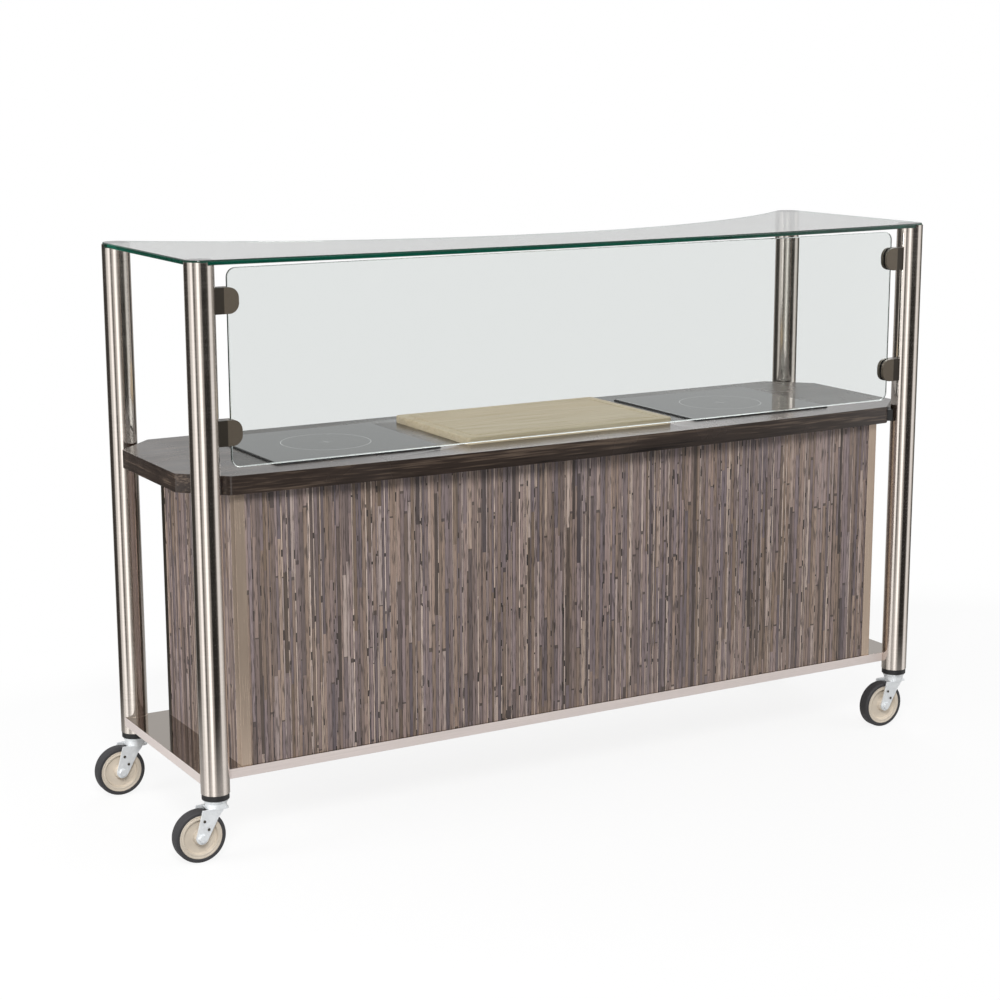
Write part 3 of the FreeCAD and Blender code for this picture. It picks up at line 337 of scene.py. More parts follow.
def group(name, inputs, fill):
    """A shader node group, built once: named inputs, and one output that fill returns."""
    tree = bpy.data.node_groups.get(name)
    if tree:
        return tree
    tree = bpy.data.node_groups.new(name, "ShaderNodeTree")
    for label, kind, value in inputs:
        socket = tree.interface.new_socket(label, in_out="INPUT", socket_type="NodeSocket" + kind)
        socket.default_value = value
    tree.interface.new_socket("Value", in_out="OUTPUT", socket_type="NodeSocketFloat")
    value = fill(Tree(tree), tree.nodes.new("NodeGroupInput").outputs)
    tree.links.new(value, tree.nodes.new("NodeGroupOutput").inputs["Value"])
    return tree


def streaks():
    """Noise drawn out along an axis: brushing, wood grain, fine strips."""
    def fill(t, ends):
        place = t.add("VectorMath", {0: ends["Vector"], 1: ends["Stretch"]}, operation="MULTIPLY").outputs[0]
        noise = t.add("TexNoise", {"Vector": place, "Scale": 1.0, "Detail": ends["Detail"]})
        return t.span(noise.outputs[0], ends["Low"], ends["High"])
    return group("streaks", [("Vector", "Vector", (0, 0, 0)), ("Stretch", "Vector", (1, 1, 1)),
                             ("Detail", "Float", 3.0), ("Low", "Float", 0.3), ("High", "Float", 0.7)], fill)


def uneven():
    """Soft patches between two values, for handled and slightly worn surfaces."""
    def fill(t, ends):
        noise = t.add("TexNoise", {"Vector": ends["Vector"], "Scale": ends["Scale"], "Detail": 4.0})
        return t.span(noise.outputs[0], 0.32, 0.68, ends["Low"], ends["High"])
    return group("uneven", [("Vector", "Vector", (0, 0, 0)), ("Scale", "Float", 10.0),
                            ("Low", "Float", 0.0), ("High", "Float", 1.0)], fill)


def principled(name, **constants):
    """Tree of a new material with one Principled shader, its constants and the object coordinates."""
    material = bpy.data.materials.new(name)
    material.use_nodes = True
    t = Tree(material.node_tree)
    t.shader = t.add("BsdfPrincipled", {key.replace("_", " "): value for key, value in constants.items()})
    t.out = t.add("OutputMaterial", {"Surface": t.shader.outputs[0]})
    t.place = t.add("TexCoord").outputs["Object"]
    return t


# finishes, one for each material slot


def brushed(name, base, stretch, rough, contrast, relief, metallic=1.0):
    """Brushed metal: fine lines in tone and roughness, and soft patches from handling."""
    t = principled(name, Metallic=metallic)
    lines = t.lines(stretch, 4.0)
    patches = t.patches(7.0)
    shade = t.shades(lines, base, 1.0 - contrast, 1.0 + contrast * 0.4)
    shade = t.blend(t.fade(patches, 0.0, 0.25), shade, scaled(base, 0.9))
    dull = t.plus(t.fade(lines, rough - 0.05, rough + 0.05), t.fade(patches, 0.0, 0.05))
    t.wire(Base_Color=shade, Roughness=dull, Normal=t.bump(lines, relief, 0.001))


def brushed_metals(c):
    """Posts brushed round their girth, sheets along the cart and trims upright."""
    upright = (900.0, 900.0, 7.0)
    brushed("post_steel", c.steel, (6.0, 6.0, 1100.0), rough=0.10, contrast=0.10, relief=0.004)
    brushed("sheet_steel", c.steel, (5.0, 900.0, 900.0), rough=0.32, contrast=0.07, relief=0.005,
            metallic=0.65)
    brushed("corner_trim", c.trim, upright, rough=0.20, contrast=0.06, relief=0.01, metallic=0.66)
    brushed("dark_trim", scaled(c.clamp, 0.4), upright, rough=0.34, contrast=0.14, relief=0.02, metallic=0.7)


def moulded(name, base, rough, grain=900.0, relief=0.08, coat=0.0):
    """Moulded plastic or rubber: fine grain, slightly uneven gloss and tone."""
    t = principled(name, Coat_Weight=coat)
    fine = t.add("TexNoise", {"Vector": t.place, "Scale": grain, "Detail": 2.0}).outputs[0]
    patches = t.patches(14.0)
    dull = t.fade(patches, rough - 0.06, rough + 0.06)
    t.wire(Base_Color=t.shades(patches, base, 0.88, 1.08), Roughness=dull,
           Normal=t.bump(fine, relief, 0.0004))


def paint_and_plastics(c):
    """Powder coat, rubber, and the moulded plastics."""
    moulded("frame_paint", c.paint, rough=0.45, grain=600.0, relief=0.15)
    moulded("black_rubber", scaled(c.black, 0.8), rough=0.75, grain=700.0, relief=0.2)
    moulded("black_nylon", c.black, rough=0.46)
    moulded("wheel_core", c.core, rough=0.42, grain=500.0, relief=0.06)
    moulded("tyre_tread", c.tread, rough=0.66, relief=0.25)
    moulded("red_lens", c.red, rough=0.2, grain=300.0, relief=0.02, coat=0.3)
    moulded("inlet_plastic", c.inlet, rough=0.5)


def polished_steel(c):
    """Mirror-like top with faint wiping marks, and satin edges where the sheet is folded down."""
    t = principled("polished_steel")
    lines = t.lines((4.0, 700.0, 700.0), 4.0)
    flat = t.span(t.size(t.facing()[2]), 0.5, 0.9)
    top = t.shades(lines, c.polished, 0.94, 1.03)
    edge = t.shades(lines, c.base_edge, 0.88, 1.0)
    dull = t.mix(flat, t.fade(lines, 0.36, 0.46), t.patches(6.0, 0.05, 0.10))
    t.wire(Base_Color=t.blend(flat, edge, top), Metallic=t.fade(flat, 0.25, 1.0), Roughness=dull,
           Normal=t.bump(lines, 0.005, 0.001))


def dark_satin_metal(c):
    """Dark satin metal, with painted shade on the necks that join the clamps to the posts."""
    t = principled("dark_satin_metal", Metallic=0.45)
    grain = t.lines((420.0, 420.0, 420.0), 4.0)
    patches = t.patches(9.0)
    shade = t.shades(grain, c.clamp, 0.86, 1.06)
    shade = t.blend(t.fade(patches, 0.0, 0.25), shade, scaled(c.clamp, 0.8))
    aside = t.size(t.minus(t.parts(t.place)[0], float(MIDDLE[0])))
    post_face = POST_X - POST_R
    # painted shade: over the neck next to each post the clamp colour is darkened nearly to black
    neck_shade = t.span(aside, post_face - 0.0185, post_face - 0.0175)
    shade = t.blend(t.times(neck_shade, 0.8), shade, scaled(c.clamp, 0.12))
    t.wire(Base_Color=shade, Roughness=t.fade(patches, 0.30, 0.40), Normal=t.bump(grain, 0.03, 0.001))


def zinc_plate(c):
    """Zinc plate: faint crystal patches in tone and gloss."""
    t = principled("zinc_plate", Metallic=0.25)
    cells = t.add("TexVoronoi", {"Vector": t.place, "Scale": 140.0}).outputs["Color"]
    spangle = t.parts(cells)[0]
    patches = t.patches(30.0)
    dull = t.plus(t.fade(spangle, 0.30, 0.35), t.fade(patches, 0.0, 0.08))
    t.wire(Base_Color=t.shades(spangle, c.zinc, 0.92, 1.0), Roughness=dull,
           Normal=t.bump(patches, 0.01, 0.001))


def clear_glass(c):
    """Clear float glass; the rim attribute marks its polished green edges, which also get a painted glow from
    emission.
    """
    t = principled("clear_glass", Metallic=0.0, Roughness=0.0, IOR=1.5, Transmission_Weight=1.0,
                   Emission_Strength=1.0)
    rim = t.attribute("rim")
    edge = t.shades(t.lines((3.0, 3.0, 500.0), 2.0), c.glass_edge, 0.5, 1.3)
    # painted glow: the rim emits a faint green light of its own
    painted_glow = t.blend(t.times(rim, t.patches(1.3, 0.25, 1.0)), BLACK, c.glass_painted_glow)
    t.wire(Base_Color=t.blend(rim, c.glass_face, edge), Emission_Color=painted_glow)
    rays = t.add("LightPath").outputs
    passing = t.larger(rays["Is Shadow Ray"], rays["Is Diffuse Ray"])
    t.show(t.either(passing, t.shader, t.add("BsdfTransparent", {0: c.glass_face})))


def strip_facing(c):
    """Facing of narrow strips: each strip changes tone along its length, with dark marks where it does, and
    knots. Strips with a low number are pale, and the narrow ones have the most knots.

    The strip attribute is a number of the strip's own, and the groove attribute marks the gaps, which get
    painted shade."""
    t = principled("strip_facing")
    own = t.attribute("strip")
    height = t.parts(t.place)[2]
    run = bpy.context.scene.cart_sizes.strip_length

    def stretch_dice(place, seed):
        """Random values of one stretch of a strip."""
        stretch = t.add("CombineXYZ", {0: t.times(own, seed), 1: t.floor(place)})
        return t.dice(Vector=stretch.outputs[0])

    longer = t.dice(W=t.times(own, 913.0))["Value"]
    place = t.plus(t.over(height, t.fade(longer, run * 0.6, run * 1.5)), t.times(own, 37.0))
    dice = stretch_dice(place, 91.7)
    hue = t.parts(dice["Color"])
    shade = t.ramp(dice["Value"], (0.0, scaled(c.strip_dark, 0.8)), (0.12, scaled(c.strip_mid, 0.46)),
                   (0.35, scaled(c.strip_mid, 0.86)), (0.7, scaled(c.strip_mid, 1.16)),
                   (0.9, scaled(c.strip_mid, 1.55)), (1.0, scaled(c.strip_light, 1.25)))
    pale = t.times(t.below(own, 0.24), t.fade(hue[0], 0.55, 1.0))
    shade = t.blend(pale, shade, scaled(c.strip_light, 1.75))
    shade = t.blend(t.span(hue[1], 0.55, 1.0, 0.0, 0.5), shade, c.strip_tan)
    shade = t.blend(t.span(hue[1], 0.5, 0.0, 0.0, 0.6), shade, c.strip_cool)
    grain = t.lines((900.0, 900.0, 16.0), 4.0)
    shade = t.blend(1.0, shade, t.shades(grain, WHITE, 0.72, 1.12), "MULTIPLY")

    cut = t.below(t.rest(place), t.fade(hue[2], 0.008, 0.03))
    cut = t.times(cut, t.above(hue[0], 0.55))
    knots = t.plus(t.over(height, run * 0.3), t.times(own, 53.0))
    chance = stretch_dice(knots, 61.3)["Value"]
    spot = t.below(t.rest(knots), t.span(chance, 0.6, 1.0, 0.04, 0.28))
    spot = t.times(spot, t.above(chance, t.span(own, 0.49, 0.5, 0.6, 1.1)))
    dash = t.lines((330.0, 330.0, 22.0), 2.0, 0.54, 0.64)
    # the groove mark is painted shade in the gaps between strips; the cuts, knots and dashes are the strips'
    # own marks
    for mark, share, dark in ((cut, 0.8, 0.6), (spot, 0.97, 0.15), (t.attribute("groove"), 0.9, 0.5),
                              (dash, 0.8, 0.6)):
        shade = t.blend(t.times(mark, share), shade, scaled(c.strip_dark, dark))
    shade = t.blend(t.patches(2.2, 0.0, 0.12), shade, c.strip_light)
    t.wire(Base_Color=shade, Roughness=t.fade(grain, 0.56, 0.42), Normal=t.bump(grain, 0.12, 0.0006))


def counter_laminate(c):
    """Dark wood grain that runs along the cart, and along the end edges where they face sideways."""
    t = principled("counter_laminate", Specular_IOR_Level=0.4, Coat_Weight=0.1, Coat_Roughness=0.1)
    along = t.lines((7.0, 150.0, 230.0), 7.0, 0.3, 0.72)
    across = t.lines((150.0, 7.0, 230.0), 7.0, 0.3, 0.72)
    fine = t.mix(t.above(t.size(t.facing()[0]), 0.75), along, across)
    broad = t.lines((0.9, 16.0, 34.0), 3.0)
    grain = t.plus(t.times(fine, 0.62), t.times(broad, 0.38))
    shade = t.ramp(grain, (0.0, c.counter_dark), (0.3, scaled(c.counter_mid, 0.8)), (0.55, c.counter_mid),
                   (0.8, scaled(c.counter_light, 0.85)), (1.0, c.counter_light))
    t.wire(Base_Color=shade, Roughness=t.patches(5.0, 0.20, 0.31), Normal=t.bump(fine, 0.04, 0.0005))


def carcass_board(c):
    """Melamine board with a faint upright grain."""
    t = principled("carcass_board")
    grain = t.lines((130.0, 130.0, 3.0), 6.0)
    broad = t.lines((14.0, 14.0, 0.8), 3.0)
    shade = t.ramp(grain, (0.0, scaled(c.carcass, 0.8)), (0.6, c.carcass), (1.0, scaled(c.carcass, 1.15)))
    shade = t.blend(t.times(broad, 0.3), shade, scaled(c.carcass, 0.7))
    t.wire(Base_Color=shade, Roughness=t.patches(9.0, 0.42, 0.54), Normal=t.bump(grain, 0.05, 0.0004))


def from_hob_axis(t, node, reach):
    """Offsets and distance of a point from the upright axis of the nearer hob. The node holds one piece for
    each hob, and reach is half the width of one of them."""
    x, y = t.parts(t.place)[:2]
    aside = float(box_of(node)[3][0]) - reach
    dx = t.minus(t.size(t.minus(x, float(MIDDLE[0]))), aside)
    dy = t.minus(y, float(MIDDLE[1]))
    return dx, dy, t.math("SQRT", t.plus(t.times(dx, dx), t.times(dy, dy)))


def hob_glass(c):
    """Black glass ceramic with a printed ring and cross for each cooking zone."""
    ring_r, ring_half = 0.112, 0.0011
    cross_reach, cross_half = 0.018, 0.0008
    t = principled("hob_glass", IOR=1.52, Coat_Weight=0.5, Coat_Roughness=0.03)
    dx, dy, far = from_hob_axis(t, "hob_glasses", HOB_HALF)
    ring = t.below(t.size(t.minus(far, ring_r)), ring_half)
    thin = t.below(t.smaller(t.size(dx), t.size(dy)), cross_half)
    printed = t.larger(ring, t.times(t.below(far, cross_reach), thin))
    dots = t.add("TexVoronoi", {"Vector": t.place, "Scale": 420.0}).outputs["Distance"]
    ground = t.blend(t.times(t.below(dots, 0.16), 0.5), c.hob, c.hob_speck)
    t.wire(Base_Color=t.blend(printed, ground, c.mark), Roughness=t.patches(11.0, 0.05, 0.12))


def board_wood(c):
    """Glued staves along the board, each with its own tone and a long grain."""
    stave_wide = 0.042
    t = principled("board_wood", Specular_IOR_Level=0.18)
    across = t.over(t.parts(t.place)[1], stave_wide)
    dice = t.dice(W=t.floor(across))["Value"]
    shift = t.add("CombineXYZ", {0: t.times(dice, 9.0)}).outputs[0]
    place = t.add("VectorMath", {0: t.place, 1: shift}, operation="ADD").outputs[0]
    grain = t.lines((5.0, 190.0, 190.0), 6.0, place=place)
    bands = t.lines((1.6, 38.0, 38.0), 3.0, place=place)
    seam = t.below(t.rest(across), 0.014)
    shade = t.ramp(grain, (0.0, c.wood_dark), (0.45, c.wood), (1.0, scaled(c.wood, 1.12)))
    for share, dark in ((t.times(bands, 0.35), 1.1), (t.fade(dice, 0.0, 0.35), 1.25),
                        (t.times(seam, 0.5), 0.6)):
        shade = t.blend(share, shade, scaled(c.wood_dark, dark))
    t.wire(Base_Color=shade, Roughness=t.fade(grain, 0.72, 0.60), Normal=t.bump(grain, 0.1, 0.0006))


def copper_coil(c):
    """Wound copper: rings round each coil's axis, with painted shade in the hollows between the turns."""
    wire_wide = 0.004
    t = principled("copper_coil", Metallic=1.0)
    far = from_hob_axis(t, "induction_coils", COIL_R)[2]
    wave = t.math("SINE", t.times(far, TURN / wire_wide))
    # painted shade: the tone follows the bump, darkest where it dips between the turns
    shade = t.shades(t.span(wave, -1.0, 1.0), c.copper, 0.35, 1.0)
    t.wire(Base_Color=shade, Roughness=t.patches(40.0, 0.3, 0.42), Normal=t.bump(wave, 0.5, 0.001))


def circuit_board(c):
    """Green board with paler tracks."""
    t = principled("circuit_board")
    tracks = t.add("TexBrick", {"Vector": t.place, "Scale": 60.0, "Mortar Size": 0.03, "Color1": c.card,
                                "Color2": scaled(c.card, 0.8), "Mortar": scaled(c.card, 2.2)})
    t.wire(Base_Color=tracks.outputs["Color"], Roughness=t.patches(30.0, 0.3, 0.42))


FINISHES = (brushed_metals, paint_and_plastics, polished_steel, dark_satin_metal, zinc_plate, clear_glass,
            strip_facing, counter_laminate, carcass_board, hob_glass, board_wood, copper_coil, circuit_board)


# shapes


def arc(centre, r, start, end, count, last=True):
    """Points on a circle: centre + r (cos a, sin a), a running evenly from start to end."""
    a = np.linspace(start, end, count, endpoint=last)
    return np.stack([centre[0] + r * np.cos(a), centre[1] + r * np.sin(a)], axis=1)


def rounded_loop(half_x, half_y, r, count=10):
    """Closed rectangle with round corners: four quarter circles joined by straight runs."""
    r = max(r, 0.0002)
    x, y = half_x - r, half_y - r
    quarters = [arc((sx * x, sy * y), r, q * QUARTER, (q + 1) * QUARTER, count)
                for q, (sx, sy) in enumerate(((1, 1), (-1, 1), (-1, -1), (1, -1)))]
    return np.concatenate(quarters)


def at_height(plan, z):
    """Points (x, y) of a plan, raised to z."""
    return np.column_stack([plan, np.full(len(plan), z)])


def at_depth(face, y):
    """Points (x, z) of a face, set back to y."""
    return np.insert(face, 1, y, axis=1)


def plate_loops(outline, low, high, arris, steps=5):
    """Plate with rounded edges: the outline drawn in by arris (1 - sin s) while it rises by
    arris (1 - cos s), once at the lower and once at the upper edge. outline(inset) gives the plan."""
    s = np.linspace(0.0, QUARTER, steps)
    insets = np.concatenate([arris * (1 - np.sin(s)), arris * (1 - np.cos(s))])
    levels = np.concatenate([low + arris * (1 - np.cos(s)), high - arris * (1 - np.sin(s))])
    return np.stack([at_height(outline(inset), z) for inset, z in zip(insets, levels)])


def lathe_loops(profile, centre, steps):
    """Closed (radius, height) profile turned about an axis along Y:
    point = centre + (r cos a, height, r sin a)."""
    profile = np.asarray(profile)
    a = np.linspace(0.0, TURN, steps, endpoint=False)
    r = profile[:, 0][:, None]
    h = np.repeat(profile[:, 1][:, None], steps, axis=1)
    return np.stack([centre[0] + r * np.cos(a), centre[1] + h, centre[2] + r * np.sin(a)], axis=-1)


def rounded_profile(points, radius, steps=4):
    """Closed polygon with each corner replaced by a parabola between points at the given distance along its
    sides, or at just under half of a shorter side."""
    p = np.asarray(points, float)

    def towards(neighbour):
        side = neighbour - p
        long = np.linalg.norm(side, axis=1)
        return p + side / long[:, None] * np.minimum(radius, long * 0.45)[:, None]

    a, b = towards(np.roll(p, 1, axis=0)), towards(np.roll(p, -1, axis=0))
    s = np.linspace(0.0, 1.0, steps)[None, :, None]
    curve = (1 - s) ** 2 * a[:, None] + 2 * s * (1 - s) * p[:, None] + s ** 2 * b[:, None]
    return curve.reshape(-1, 2)


def new_object(name, mesh):
    made = bpy.data.objects.new(name, mesh)
    bpy.context.scene.collection.objects.link(made)
    return made


def shells(name, parts, closed=False, sharp=35.0, face_values=None):
    """Mesh from loops of points. Each part is an array (loops, points, 3): neighbouring loops are joined by
    quads, and the first and last loop are capped, or joined to each other where closed is set.
    face_values maps an attribute to one value for each quad of each part, and the value of its caps."""
    points, faces, smooth, extra = [], [], [], {key: [] for key in (face_values or {})}
    start = 0
    for number, loops in enumerate(parts):
        rows, count = loops.shape[:2]
        i, j = np.meshgrid(np.arange(rows if closed else rows - 1), np.arange(count), indexing="ij")
        i2, j2 = (i + 1) % rows, (j + 1) % count
        quads = np.stack([i * count + j, i * count + j2, i2 * count + j2, i2 * count + j], axis=-1)
        quads = quads.reshape(-1, 4)
        faces += (quads + start).tolist()
        caps = 0
        if not closed:
            ring = np.arange(count)
            faces += [(ring[::-1] + start).tolist(), (ring + start + (rows - 1) * count).tolist()]
            caps = 2
        smooth += [True] * len(quads) + [False] * caps
        for key in extra:
            values, cap_value = face_values[key][number]
            extra[key].append(np.concatenate([np.asarray(values, float), np.full(caps, cap_value)]))
        points.append(loops.reshape(-1, 3))
        start += rows * count
    mesh = bpy.data.meshes.new(name)
    mesh.from_pydata(np.concatenate(points).tolist(), [], faces)
    for key, values in extra.items():
        mesh.attributes.new(key, "FLOAT", "FACE").data.foreach_set("value", np.concatenate(values))
    bm = bmesh.new()
    bm.from_mesh(mesh)
    bmesh.ops.recalc_face_normals(bm, faces=bm.faces)
    bm.to_mesh(mesh)
    bm.free()
    mesh.set_sharp_from_angle(angle=math.radians(sharp))
    mesh.polygons.foreach_set("use_smooth", smooth)
    return new_object(name, mesh)


def open_sheet(name, grid, **point_values):
    """Open sheet from a grid of points; point_values maps an attribute to one value for each point."""
    rows, count = grid.shape[:2]
    i, j = np.meshgrid(np.arange(rows - 1), np.arange(count - 1), indexing="ij")
    first = i * count + j
    quads = np.stack([first, first + 1, first + count + 1, first + count], axis=-1)
    mesh = bpy.data.meshes.new(name)
    mesh.from_pydata(grid.reshape(-1, 3).tolist(), [], quads.reshape(-1, 4).tolist())
    for key, values in point_values.items():
        mesh.attributes.new(key, "FLOAT", "POINT").data.foreach_set("value", values.reshape(-1))
    return new_object(name, mesh)


def dress(piece, body, slot, *nodes):
    """Gives a finished piece its finish, its body and the solids that it stands for."""
    piece.data.materials.clear()
    piece.data.materials.append(bpy.data.materials[slot])
    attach(piece, body)
    if nodes:
        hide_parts(*nodes)


def softened(node, width, segments=2):
    """Copy of a solid with its doubles merged, its flat faces joined and its edges rounded by a bevel."""
    bm = bmesh.new()
    bm.from_mesh(NODES[node].data)
    bmesh.ops.remove_doubles(bm, verts=bm.verts, dist=MERGE)
    bmesh.ops.dissolve_limit(bm, angle_limit=FLAT_ANGLE, verts=bm.verts, edges=bm.edges)
    mesh = bpy.data.meshes.new(node + "_soft")
    bm.to_mesh(mesh)
    bm.free()
    mesh.shade_smooth()
    mesh.set_sharp_from_angle(angle=EDGE_ANGLE)
    made = new_object(node + "_soft", mesh)
    bevel = made.modifiers.new("edge_round", "BEVEL")
    bevel.width = width
    bevel.segments = segments
    bevel.limit_method = "ANGLE"
    bevel.angle_limit = EDGE_ANGLE
    bevel.harden_normals = True
    dress(made, NODES[node]["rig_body"], SLOT_OF[node], node)


# operators


class CART_OT_finishes(bpy.types.Operator):
    """Make every finish and put it on the solids"""
    bl_idname = "cart.finishes"
    bl_label = "Finishes"

    def execute(self, context):
        for plain in list(bpy.data.materials):
            bpy.data.materials.remove(plain)
        for make in FINISHES:
            make(context.scene.cart_colours)
        for node, solid in NODES.items():
            solid.data.materials.clear()
            solid.data.materials.append(bpy.data.materials[SLOT_OF[node]])
        return {"FINISHED"}


def strip_section(wide, sizes, random):
    """Cross-section of the facing, from one side to the other: for each strip a low point, two shoulders and
    a slightly higher crown. Strips with a number below one half are narrow, the others wide.
    Returns the places along the face, the depth below it, and the strip and groove values; the groove values
    mark the gap faces that get painted shade."""
    shoulder_drop = 0.00025
    count = int(round(wide / sizes.strip_wide))
    kind = random.uniform(0.0, 1.0, count)
    share = np.where(kind < 0.5, random.uniform(0.35, 0.65, count), random.uniform(0.9, 1.7, count))
    edges = np.concatenate([[0.0], np.cumsum(share)]) / share.sum() * wide
    width = np.diff(edges)
    groove = sizes.strip_groove * random.choice([0.35, 0.6, 1.0], count, p=[0.5, 0.35, 0.15])
    lift = random.uniform(0.0, 0.25, count) * sizes.strip_groove
    shoulder = np.minimum(0.0005, width * 0.15)
    start, end = edges[:-1], edges[1:]
    along = np.stack([start, start + shoulder, start + width / 2, end - shoulder], axis=1)
    depth = np.stack([groove, lift + shoulder_drop, lift, lift + shoulder_drop], axis=1)
    own = np.repeat(kind, 4)
    gap = np.tile([1.0, 0.0, 0.0, 1.0], count)
    return along.reshape(-1), depth.reshape(-1), own, gap


class CART_OT_strip_facings(bpy.types.Operator):
    """Build the strip facings of the front and the two ends"""
    bl_idname = "cart.strip_facings"
    bl_label = "Strip facings"

    def execute(self, context):
        sizes = context.scene.cart_sizes
        random = np.random.default_rng(41)
        low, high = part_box("front_facing")
        runs = [((low.x, low.y), (1, 0), (0, 1), high.x - low.x)]
        self.panel("front_strips", "front_facing", runs, random, sizes)
        low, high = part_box("end_facings")
        runs = [((low.x, low.y), (0, 1), (1, 0), high.y - low.y),
                ((high.x, low.y), (0, 1), (-1, 0), high.y - low.y)]
        self.panel("end_strips", "end_facings", runs, random, sizes)
        return {"FINISHED"}

    def panel(self, name, node, runs, random, sizes):
        """Section carried upwards: start + along * way + depth * inwards, closed by the flat back of the
        facing. Each run has its start, its way along the face, its way inwards and its width."""
        low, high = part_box(node)
        levels = np.linspace(low.z, high.z, 7)
        parts, strip, groove = [], [], []
        for start, way, inwards, wide in runs:
            along, depth, own, gap = strip_section(wide, sizes, random)
            along = np.concatenate([along, [wide, wide, 0.0]])
            depth = np.concatenate([depth, [0.0, FACING_THICK, FACING_THICK]])
            plan = np.array(start) + along[:, None] * np.array(way) + depth[:, None] * np.array(inwards)
            parts.append(np.stack([at_height(plan, z) for z in levels]))
            strip.append((np.tile(np.concatenate([own, [0.5] * 3]), len(levels) - 1), 0.5))
            # groove values mark the gap faces for the painted shade in the facing's finish
            groove.append((np.tile(np.concatenate([gap, [0.0] * 3]), len(levels) - 1), 0.0))
        made = shells(name, parts, sharp=24.0, face_values={"strip": strip, "groove": groove})
        dress(made, "cart", "strip_facing", node)


def canopy_plan(inset, corner_r, front_reach):
    """Plan of the canopy drawn in by inset: a bowed front arc, corner arcs about the posts and a hollow back
    arc, each arc tangent to the next."""
    r = corner_r - inset
    reach = front_reach - inset
    waist = CANOPY_WAIST - inset
    front_r = (POST_X ** 2 + reach ** 2 - r ** 2) / (2 * (reach - r))
    front_c = front_r - POST_Y - reach
    back_r = (POST_X ** 2 + (waist - POST_Y) ** 2 - r ** 2) / (2 * (r - waist + POST_Y))
    back_c = waist + back_r
    front_a = math.atan2(-POST_Y - front_c, POST_X)
    back_a = math.atan2(back_c - POST_Y, -POST_X)
    meet = math.atan2(POST_Y + r * math.sin(back_a) - back_c, POST_X + r * math.cos(back_a))
    runs = [
        arc((0, front_c), front_r, -HALF_TURN - front_a, front_a, 120, False),
        arc((POST_X, -POST_Y), r, front_a, 0.0, 10),
        arc((POST_X, POST_Y), r, 0.0, back_a, 16, False),
        arc((0, back_c), back_r, meet, -HALF_TURN - meet, 120, False),
        arc((-POST_X, POST_Y), r, HALF_TURN - back_a, HALF_TURN, 16),
        arc((-POST_X, -POST_Y), r, HALF_TURN, HALF_TURN - front_a, 10, False),
    ]
    return np.concatenate(runs) + MIDDLE[:2]


class CART_OT_glass(bpy.types.Operator):
    """Build the canopy and the front glass with polished edges"""
    bl_idname = "cart.glass"
    bl_label = "Glass"

    def execute(self, context):
        arris = context.scene.cart_sizes.glass_arris
        low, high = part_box("canopy_glass")
        corner = high.x - MIDDLE[0] - POST_X
        reach = MIDDLE[1] - POST_Y - low.y
        loops = plate_loops(lambda inset: canopy_plan(inset, corner, reach), low.z, high.z, arris)
        self.sheet("canopy_sheet", loops, 1.0, "canopy_glass")
        low, high, middle, half = box_of("front_glass")
        face, centre = half[[0, 2]], middle[[0, 2]]
        flat = plate_loops(lambda inset: rounded_loop(*(face - inset), FRONT_GLASS_CORNER - inset) + centre,
                           low[1], high[1], arris)
        self.sheet("front_sheet", flat[:, :, [0, 2, 1]], 0.3, "front_glass")
        return {"FINISHED"}

    def sheet(self, name, loops, tint, node):
        """One sheet; its edge gets this share of the edge tint and of the painted glow, and its flat faces
        none.
        """
        rim = np.full((loops.shape[0] - 1) * loops.shape[1], tint)
        made = shells(name, [loops], face_values={"rim": [(rim, 0.0)]})
        dress(made, "cart", "clear_glass", node)


def hob_plans():
    """Two functions, one for each hob: the plan of its glass, drawn in by inset."""
    low, high, middle, half = box_of("hob_glasses")

    def plan_about(x):
        return lambda inset: (rounded_loop(HOB_HALF - inset, half[1] - inset, HOB_CORNER - inset)
                              + [x, middle[1]])

    return plan_about(low[0] + HOB_HALF), plan_about(high[0] - HOB_HALF)


class CART_OT_counter(bpy.types.Operator):
    """Round the counter's edges and lay a sealing bead round each hob"""
    bl_idname = "cart.counter"
    bl_label = "Counter"

    def execute(self, context):
        sizes = context.scene.cart_sizes
        softened("counter_top", sizes.counter_round, 3)
        softened("post_saddles", sizes.metal_round)
        self.seals(sizes.seal_wide)
        return {"FINISHED"}

    def seals(self, wide):
        """Bead carried round each hob: a quarter ellipse, wide cos s outwards and tall sin s upwards, that
        tucks a little way under the glass."""
        tall, tuck = 0.0028, 0.0004
        s = np.linspace(0.0, QUARTER, 6)
        out = np.concatenate([[-tuck], wide * np.cos(s), [-tuck]])
        up = np.concatenate([[0.0], tall * np.sin(s), [tall]])
        out[-2], up[-2] = tuck, tall
        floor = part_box("hob_glasses")[0].z
        beads = [np.stack([at_height(plan(-o), floor + u) for o, u in zip(out, up)]) for plan in hob_plans()]
        dress(shells("hob_seals", beads, closed=True), "cart", "black_rubber")


class CART_OT_hobs(bpy.types.Operator):
    """Build the two hob glasses with a ground edge"""
    bl_idname = "cart.hobs"
    bl_label = "Hob glasses"

    def execute(self, context):
        low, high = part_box("hob_glasses")
        parts = [plate_loops(plan, low.z, high.z, HOB_ARRIS) for plan in hob_plans()]
        dress(shells("hob_sheets", parts), "cart", "hob_glass", "hob_glasses")
        return {"FINISHED"}


